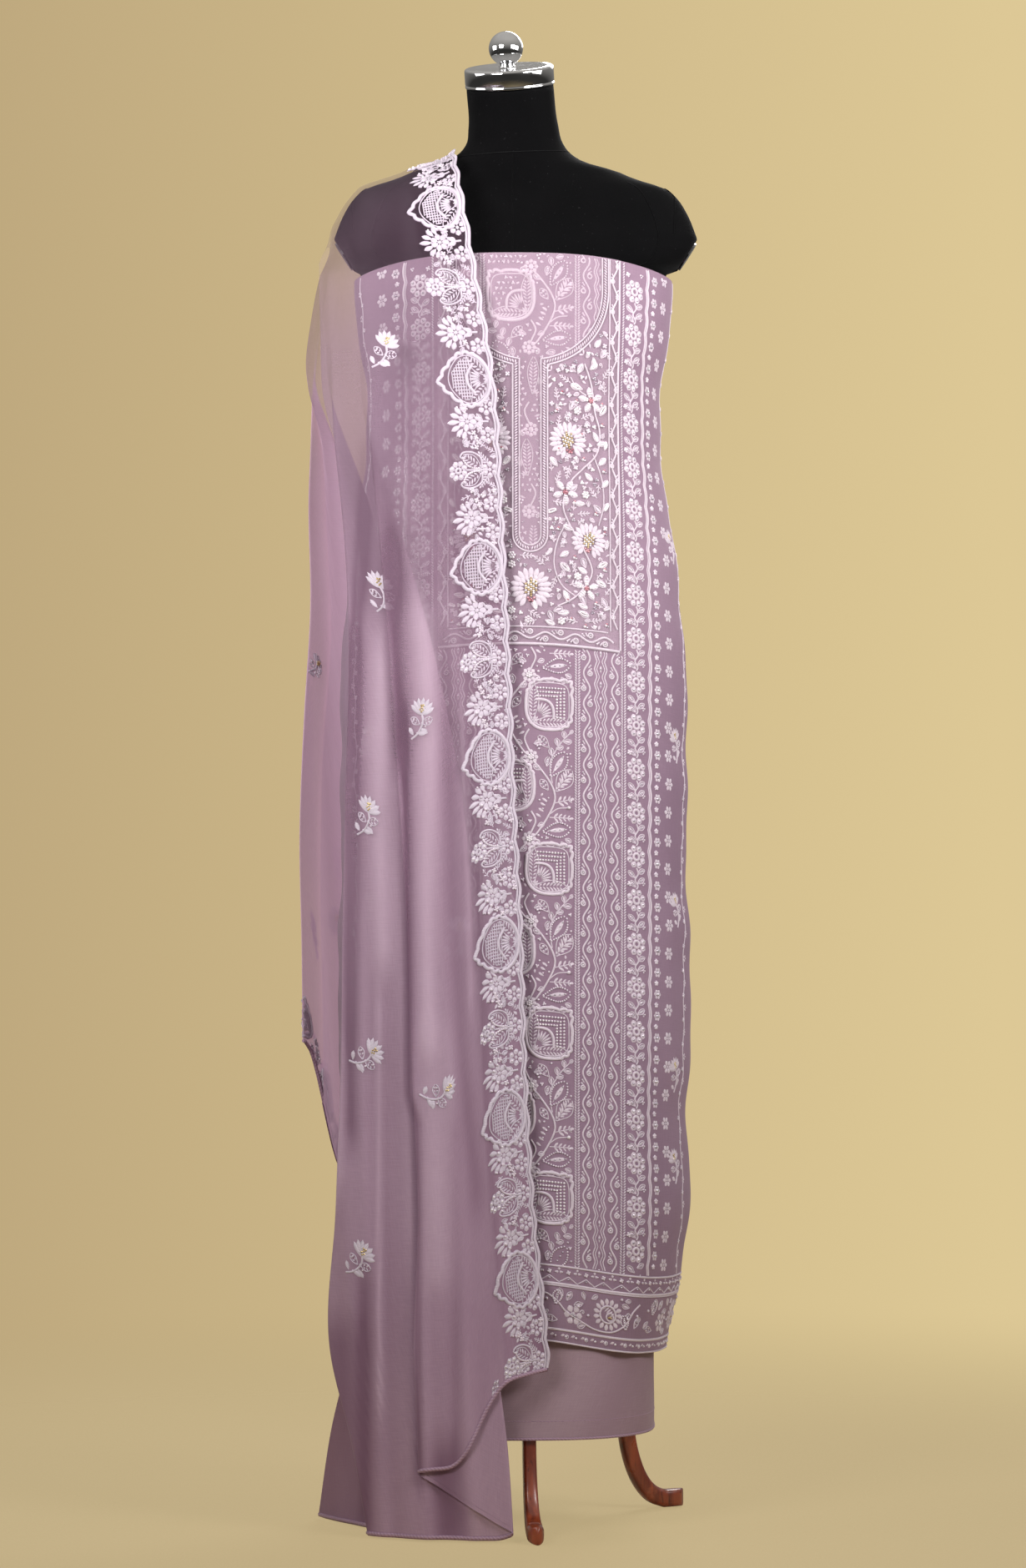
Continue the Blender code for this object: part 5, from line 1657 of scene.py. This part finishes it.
def crinkle_group():
    """Small crinkles of slack cloth, stretched along it, as a height about nought."""
    inputs = [("Flat", "Vector", (0, 0, 0)), ("Size", "Float", 30.0)]
    graph, given, put = shader_group("cloth_crinkle", inputs, ("Height", "Patches"))
    along = (1.0, 0.45, 1.0)
    fine = graph.noise(given["Flat"], given["Size"], 4.0, along)
    graph.join(graph.sum("SUBTRACT", fine, 0.5), put["Height"])
    graph.join(graph.noise(given["Flat"], 6.0, 2.0, along), put["Patches"])
    return graph.tree


class Look(Graph):
    """A material with its own Principled shader; constants go on the shader's own sockets."""

    def __init__(self, name, roughness, **constants):
        self.material = bpy.data.materials.new(name)
        self.material.use_nodes = True
        super().__init__(self.material.node_tree)
        self.shader = self.add("BsdfPrincipled", {"Roughness": roughness})
        for socket, value in constants.items():
            self.give(socket.replace("_", " "), value)
        self.output = self.add("OutputMaterial", {"Surface": self.shader.outputs[0]})

    def give(self, socket, value):
        """A value or a link for one of the shader's sockets."""
        self.join(value, self.shader.inputs[socket])

    def paint(self, share, first, second):
        """The base colour, changing from the first to the second by a share."""
        self.give("Base Color", self.mix(share, first, second))

    def relief(self, height, strength=1.0):
        bump_node = self.add("Bump", {"Height": height, "Strength": strength, "Distance": 1.0})
        self.give("Normal", bump_node.outputs[0])


def cloth_look(name, pale, deep, threads, roughness, weave_depth, crinkle_depth):
    """Thin woven cloth: weave, slubs and crinkles, its colour moving between two near tones."""
    look = Look(name, roughness, Sheen_Weight=0.12, Sheen_Roughness=0.4)
    flat = look.flat()
    weave = look.add("Group", node_tree=WEAVE)
    look.join(flat, weave.inputs["Flat"])
    look.join(threads, weave.inputs["Threads per metre"])
    crinkle = look.add("Group", node_tree=CRINKLE)
    look.join(flat, crinkle.inputs["Flat"])
    look.tone = look.times(weave.outputs["Shade"], 0.9, crinkle.outputs["Patches"])
    look.ground = look.mix(look.ramp(look.tone, 0.32, 0.68), deep, pale)
    look.give("Base Color", look.ground)
    fine = look.times(weave.outputs["Height"], weave_depth)
    look.relief(look.times(crinkle.outputs["Height"], crinkle_depth, fine))
    return look


def draped_chiffon(look, painted_shade_colour, painted_highlight_colour, runs):
    """Sheer cloth whose cover grows along it as it gathers, with painted shade in its folds and a painted
    highlight on its crests.

    It stops less light than sight, because its fine threads scatter light on through it.
    runs: cover at lengths along the cloth; between two of them it changes evenly.
    """
    # The fold attribute gives painted shade in the folds and a painted highlight on the crests.
    fold = look.add("Attribute", attribute_name="fold").outputs["Fac"]
    inner = look.clamp(look.times(fold, 0.95))
    crest = look.clamp(look.times(fold, -0.7))
    colour = look.mix(crest, look.mix(inner, look.ground, painted_shade_colour), painted_highlight_colour)
    across, along = look.parts(look.flat())[:2]
    # Over the shoulder's outer side the cloth lies gathered in more than one layer.
    near = look.ramp(along, 0.80, 1.10)
    outer = look.times(look.ramp(across, 0.18, 0.32, 0.0, 0.24), near)
    # Below the shoulder the colour is darkened with painted shade, for the shade of the fold above.
    painted_shade_share = look.ramp(along, 1.16, 1.24, 0.85, 0.20)
    look.paint(look.times(near, painted_shade_share), colour, srgb(126, 100, 118))
    cover = look.times(look.tone, 0.16, look.sum("ADD", outer, runs[0][1] - 0.08))
    for (start, low), (end, high) in zip(runs, runs[1:]):
        cover = look.sum("ADD", cover, look.ramp(along, start, end, 0.0, high - low))
    thick = look.times(look.sum("ABSOLUTE", fold), 0.22, 1.0)
    passing = look.times(look.add("LightPath").outputs["Is Shadow Ray"], -0.38, 1.0)
    look.give("Alpha", look.times(look.clamp(look.times(cover, thick)), passing))
    # The back fall is given a faint glow, painted light for the light that passes through it from behind.
    look.give("Emission Color", look.mix(look.ramp(along, 1.42, 1.75), (0.0, 0.0, 0.0), srgb(178, 148, 164)))
    look.give("Emission Strength", 0.40)
    return look.material


def thread_look(name, pale, deep, strand=0.0011):
    """Embroidery thread, silky: slanted strands along a stitch, with painted shade between them and at its
    sides.
    """
    look = Look(name, 0.55, Sheen_Weight=0.15, Sheen_Roughness=0.35)
    flat = look.flat()
    across, along = look.parts(flat)[:2]
    slant = look.times(across, 0.45 * strand, along)
    wave = look.sum("SINE", look.times(slant, 2 * pi / strand))
    uneven = look.noise(flat, 500.0, 3.0)
    share = look.times(wave, 0.22, look.times(uneven, 1.1, 0.26))
    # Painted shade towards the stitch's sides.
    sides = look.ramp(look.sum("ABSOLUTE", across), 0.60, 1.0, 0.0, 0.80)
    look.paint(look.clamp(look.sum("SUBTRACT", share, sides)), deep, pale)
    look.relief(look.times(look.times(uneven, 0.9, wave), 0.00013))
    return look.material


def jersey_look():
    """Black knitted cover: tiny interlocking loops in staggered rows, lint and a faint sheen."""
    look = Look("black_jersey_knit", 0.95, Sheen_Weight=0.02, Sheen_Roughness=0.5, Specular_IOR_Level=0.07)
    place = look.place()
    rows = look.scaled(place, (1.0, 1.0, 0.6))
    loops = look.add("TexVoronoi", {"Vector": rows, "Scale": 900.0}).outputs[0]
    specks = look.ramp(look.noise(place, 420.0, 1.0), 0.74, 0.80)
    tone = look.mix(look.noise(place, 26.0, 5.0), (0.0010, 0.0010, 0.0012), (0.0028, 0.0027, 0.0030))
    look.paint(look.times(specks, 0.35), tone, (0.05, 0.05, 0.052))
    look.relief(look.times(loops, 0.00012), 0.7)
    return look.material


def steel_look():
    """Polished plated steel with hairline scratches and faint smears."""
    look = Look("polished_plated_steel", 0.08, Metallic=1.0)
    place = look.place()
    smears = look.noise(place, 60.0, 4.0)
    scratches = look.noise(place, 30.0, 3.0, (1.0, 1.0, 40.0))
    look.paint(smears, (0.56, 0.56, 0.57), (0.80, 0.80, 0.81))
    look.give("Roughness", look.ramp(smears, 0.3, 0.8, 0.035, 0.13))
    look.relief(look.times(scratches, 0.00002), 0.6)
    return look.material


def plate_look():
    """Black lacquered steel of the arm plates: a clear skin, finely brushed, worn grey in small spots."""
    look = Look("black_lacquered_plate", 0.3, Metallic=0.35, Coat_Weight=0.7, Coat_Roughness=0.12)
    place = look.place()
    brushed = look.noise(place, 60.0, 3.0, (1.0, 1.0, 30.0))
    worn = look.ramp(look.noise(place, 150.0, 4.0), 0.62, 0.72)
    tone = look.mix(brushed, (0.010, 0.010, 0.012), (0.035, 0.034, 0.036))
    look.paint(look.times(worn, 0.5), tone, (0.16, 0.155, 0.15))
    look.give("Roughness", look.ramp(brushed, 0.3, 0.7, 0.2, 0.4))
    return look.material


def wood_look():
    """Varnished red-brown hardwood: grain along each piece, darker in pores, small worn spots."""
    look = Look("varnished_wood", 0.3, Coat_Weight=0.5, Coat_Roughness=0.12)
    place = look.place()
    grain = look.scaled(place, (1.0, 1.0, 0.12))
    rings = look.sum("SINE", look.times(look.noise(grain, 26.0, 5.0, Distortion=0.4), 34.0))
    pores = look.noise(grain, 420.0, 2.0)
    wear = look.noise(place, 55.0, 6.0)
    worn = look.ramp(wear, 0.60, 0.70)
    tone = look.mix(look.ramp(rings, -1.0, 1.0), srgb(122, 50, 28), srgb(158, 72, 42))
    tone = look.mix(look.ramp(pores, 0.62, 0.75), tone, srgb(70, 24, 14))
    look.paint(look.times(worn, 0.45), tone, srgb(200, 112, 72))
    look.give("Roughness", look.ramp(wear, 0.3, 0.7, 0.24, 0.42))
    look.relief(look.times(pores, 0.00006), 0.6)
    return look.material


def bead_look(name, pale, deep, roughness, metallic):
    """A small bead: its colour moves a little from bead to bead, under a clear skin."""
    look = Look(name, roughness, Metallic=metallic, Coat_Weight=0.6, Coat_Roughness=0.05)
    share = look.ramp(look.noise(look.place(), 130.0, 0.0), 0.3, 0.7)
    look.paint(share, deep, pale)
    return look.material


def floor_look():
    """Pale matt floor that glows a little to the camera: solid near the stand, clear 2.6 m from it."""
    look = Look("studio_floor", 0.9)
    place = look.place()
    grain = look.noise(place, 400.0, 2.0)
    look.paint(grain, srgb(226, 206, 162), srgb(232, 212, 170))
    glow = look.add("Emission", {"Color": look.mix(grain, srgb(196, 175, 132), srgb(206, 186, 142))})
    seen = look.times(look.add("LightPath").outputs["Is Camera Ray"], 0.75)
    lit = look.blend(seen, look.shader.outputs[0], glow.outputs[0])
    far = look.add("VectorMath", {0: place}, operation="LENGTH").outputs["Value"]
    clear = look.add("MapRange", {0: far, 1: 0.5, 2: 2.6}, interpolation_type="SMOOTHSTEP").outputs[0]
    faded = look.blend(clear, lit, look.add("BsdfTransparent").outputs[0])
    look.join(faded, look.output.inputs["Surface"])
    return look.material


def camera():
    """A level camera before the form, its lens from the focal length in frame pixels."""
    eye = bpy.data.cameras.new("front_camera")
    eye.sensor_width = SENSOR
    eye.lens = FOCAL_PX / FRAME_TALL_PX * SENSOR
    eye.clip_start = 0.05
    stand = bpy.data.objects.new("front_camera", eye)
    stand.location = (AXIS[0], AXIS[1] - CAMERA_AWAY, CAMERA_HEIGHT)
    stand.rotation_euler = (radians(90), 0, 0)
    bpy.context.scene.collection.objects.link(stand)
    bpy.context.scene.camera = stand


def stage(look):
    """A level round floor, 3 m across, whose finish fades out towards its rim."""
    rings = np.linspace(0, 1, 24)[:, None] ** 1.3 * 3.0
    turn = np.linspace(0, 2 * pi, 97)[None, :]
    points = np.stack(np.broadcast_arrays(rings * np.cos(turn), rings * np.sin(turn), -0.0005), axis=2)
    mesh = bpy.data.meshes.new("studio_floor")
    mesh.from_pydata(points.reshape(-1, 3).tolist(), [], quads(24, 97).tolist())
    mesh.materials.append(look)
    disc = bpy.data.objects.new("studio_floor", mesh)
    bpy.context.scene.collection.objects.link(disc)


def soft_light(name, place, target, size, spread, power, colour):
    """A soft box that faces its target; a narrow spread, in degrees, keeps its light off the floor."""
    lamp = bpy.data.lights.new(name, "AREA")
    lamp.shape = "RECTANGLE"
    lamp.size, lamp.size_y = size
    lamp.spread = radians(spread)
    lamp.energy = power
    lamp.color = colour
    box = bpy.data.objects.new(name, lamp)
    box.location = place
    way = Vector(target) - Vector(place)
    box.rotation_euler = way.to_track_quat("-Z", "Y").to_euler()
    bpy.context.scene.collection.objects.link(box)


def sky_look():
    """The world: a warm backdrop to the camera, white soft light to matt finishes, a dim room to mirrors."""
    sky = bpy.data.worlds.new("warm_backdrop")
    sky.use_nodes = True
    graph = Graph(sky.node_tree)
    way = graph.parts(graph.add("TexCoord").outputs["Generated"])

    def shine(colour, strength=1.0):
        return graph.add("Background", {"Color": colour, "Strength": strength}).outputs[0]

    # To the camera the backdrop is darker on the left and paler on the right: painted shade across it.
    seen = shine(graph.mix(graph.ramp(way[0], -0.10, 0.09), srgb(190, 168, 126), srgb(221, 200, 150)))
    soft = shine((1.0, 0.97, 0.97), 0.07)
    room = shine((1.0, 0.96, 0.90), graph.ramp(way[2], -0.25, 0.85, 0.04, 0.60))
    ray = graph.add("LightPath").outputs
    other = graph.blend(ray["Is Glossy Ray"], soft, room)
    graph.add("OutputWorld", {"Surface": graph.blend(ray["Is Camera Ray"], other, seen)})
    return sky


def lights():
    """Soft boxes before the form, aimed at its neck and narrow, so that the hems lie in weaker light."""
    white = (1.0, 0.985, 0.985)
    soft_light("key_box", (-1.15, -1.95, 1.90), (0, 0, 1.56), (1.0, 0.8), 89, 14.8, white)
    soft_light("fill_box", (1.75, -1.50, 1.86), (0, 0, 1.54), (1.0, 0.8), 89, 14.0, white)
    soft_light("left_box", (-2.2, -0.3, 1.70), (-0.1, 0, 1.40), (1.2, 0.8), 72, 3.4, white)
    soft_light("right_box", (2.2, -0.5, 1.70), (0.1, 0, 1.40), (1.2, 0.8), 72, 2.8, white)
    soft_light("back_box", (0.8, 2.4, 2.5), (0, 0, 1.2), (1.6, 1.0), 110, 17, white)
    bpy.context.scene.world = sky_look()
    bpy.context.scene.view_settings.view_transform = "Standard"
    bpy.context.scene.cycles.transparent_max_bounces = 24


def dressed(piece, slot, *nodes):
    """Hides the CAD nodes that a piece replaces, and gives the piece back; its slot is not used."""
    if nodes:
        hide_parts(*nodes)
    return piece


# The camera, the floor and the light.
camera()
stage(floor_look())
lights()

# Finishes.
WEAVE = weave_group()
CRINKLE = crinkle_group()
jersey = jersey_look()
steel = steel_look()
wood = wood_look()
plate = plate_look()
for side in ("left", "right"):
    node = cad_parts[f"arm_plate_{side}"]
    node.data.materials.clear()
    node.data.materials.append(plate)
georgette = cloth_look(
    "lilac_georgette", srgb(156, 128, 147), srgb(143, 115, 135), 1500, 0.8, 0.00006, 0.0011
).material
yoke_cloth = cloth_look(
    "pale_yoke_georgette", srgb(217, 192, 207), srgb(205, 179, 195), 1500, 0.75, 0.00006, 0.0006
)
# The yoke is sheer: its threads cover a quarter to two fifths of it.
yoke_cloth.give("Alpha", yoke_cloth.ramp(yoke_cloth.tone, 0.25, 0.75, 0.25, 0.40))
plain = cloth_look(
    "plain_mauve_cloth", srgb(172, 146, 156), srgb(156, 128, 140), 1300, 0.78, 0.00008, 0.0010
).material
thread = thread_look("pale_lilac_thread", srgb(244, 230, 240), srgb(190, 168, 184))
pale_thread = thread_look("white_lilac_thread", srgb(238, 226, 238), srgb(172, 150, 170))
BEADS = {
    KNOT: ("knots", thread_look("knotted_thread", srgb(244, 232, 241), srgb(190, 170, 186))),
    PEARL: ("pearls", bead_look("cream_pearl", srgb(252, 246, 248), srgb(230, 218, 226), 0.38, 0.0)),
    SILVER: ("silver_beads", bead_look("silver_bead", srgb(232, 226, 232), srgb(186, 176, 188), 0.2, 0.45)),
    GOLD: ("gold_beads", bead_look("pale_gold_bead", srgb(226, 206, 160), srgb(180, 152, 104), 0.22, 0.6)),
    ROSE: ("rose_beads", bead_look("rose_bead", srgb(222, 168, 176), srgb(178, 108, 122), 0.25, 0.3)),
}
CHIFFON_COVER = (
    (0.0, 0.95), (0.28, 0.84), (0.55, 0.54), (0.80, 0.46), (0.96, 0.56), (1.12, 0.56), (1.20, 0.17),
    (1.40, 0.15), (1.50, 0.44), (1.65, 0.50), (2.20, 0.50), (2.42, 0.38),
)
# The chiffon's two tones, then the colours of its painted shade and painted highlight, then its cover.
chiffon = draped_chiffon(
    cloth_look("sheer_chiffon", srgb(186, 155, 175), srgb(172, 139, 161), 1300, 0.7, 0.00005, 0.0008),
    srgb(118, 82, 106), srgb(218, 190, 208), CHIFFON_COVER,
)

# The dress form and its stand.
dressed(form_cover(jersey), "black_jersey", "form_torso")
dressed(form_seams(jersey), "black_jersey")
for piece, node in zip(neck_fittings(steel), ("form_neck_cap", "form_neck_ball")):
    dressed(piece, "polished_steel", node)
POLE = MM * np.array([
    (60, 759.7), (60, 750), (52, 744), (17, 735), (15, 640), (20, 460), (27.6, 440.4), (28, 436),
    (28, 364), (27.6, 360), (20, 340), (8, 325),
])
dressed(turned("pole", POLE, 64, wood), "stand_wood", "form_pole")
for side, degrees in LEG_ANGLES.items():
    dressed(stand_leg(f"leg_{side}", degrees, wood), "stand_wood", f"stand_leg_{side}")

# The suit.
cloths = {}
for name, (points, u, v), look, node, slot, size in (
    ("kameez_front_cloth", kameez_panel(True), georgette, "kameez_front", "kameez_georgette", (0.60, 1.20)),
    ("kameez_back_cloth", kameez_panel(False), georgette, "kameez_back", "kameez_georgette", (0.60, 1.20)),
    ("salwar_tube", salwar_panel(), plain, "salwar_cloth", "salwar_cloth", (1.05, 0.995)),
):
    cloths[node] = Cloth(points, u, v)
    piece = dressed(grid_piece(name, points, look, flat_map(u, v)), slot, node)
points, u, v, folds = dupatta_panel()
chiffon_cloth = Cloth(points, u, v)
dupatta = grid_piece("dupatta_sheet", points, chiffon, flat_map(u, v))
# The fold attribute carries the painted shade and painted highlight of the dupatta's folds and crests.
carry(dupatta, "fold", folds)
dressed(dupatta, "sheer_chiffon", "dupatta_front", "dupatta_shoulder", "dupatta_back")

# The embroidery.
yoke, yoke_table = yoke_piece(cloths["kameez_front"], yoke_cloth.material)
dressed(yoke, "yoke_georgette", "kameez_yoke")
kameez_front_work(cloths["kameez_front"], thread, BEADS)
kameez_back_work(cloths["kameez_back"], thread, BEADS)
yoke_work(yoke_table, thread, BEADS)
dupatta_work(chiffon_cloth, pale_thread, BEADS)
roll = thread_look("rolled_hem_cloth", srgb(184, 152, 172), srgb(146, 112, 134), 0.004)
hem = cloths["salwar_cloth"].v[-1]
for name, cloth, places, half_wide, high in (
    ("dupatta_rolled_hems", chiffon_cloth, (0.0024, chiffon_cloth.v[-1] - 0.0024), 2.3, 2.0),
    ("salwar_hem_stitches", cloths["salwar_cloth"], (hem - 0.0205,), 0.5, 0.45),
    ("salwar_hem_edge", cloths["salwar_cloth"], (hem - 0.0016,), 1.3, 1.0),
):
    dressed(hem_rolls(name, cloth, places, half_wide, high, roll), "embroidery_thread")
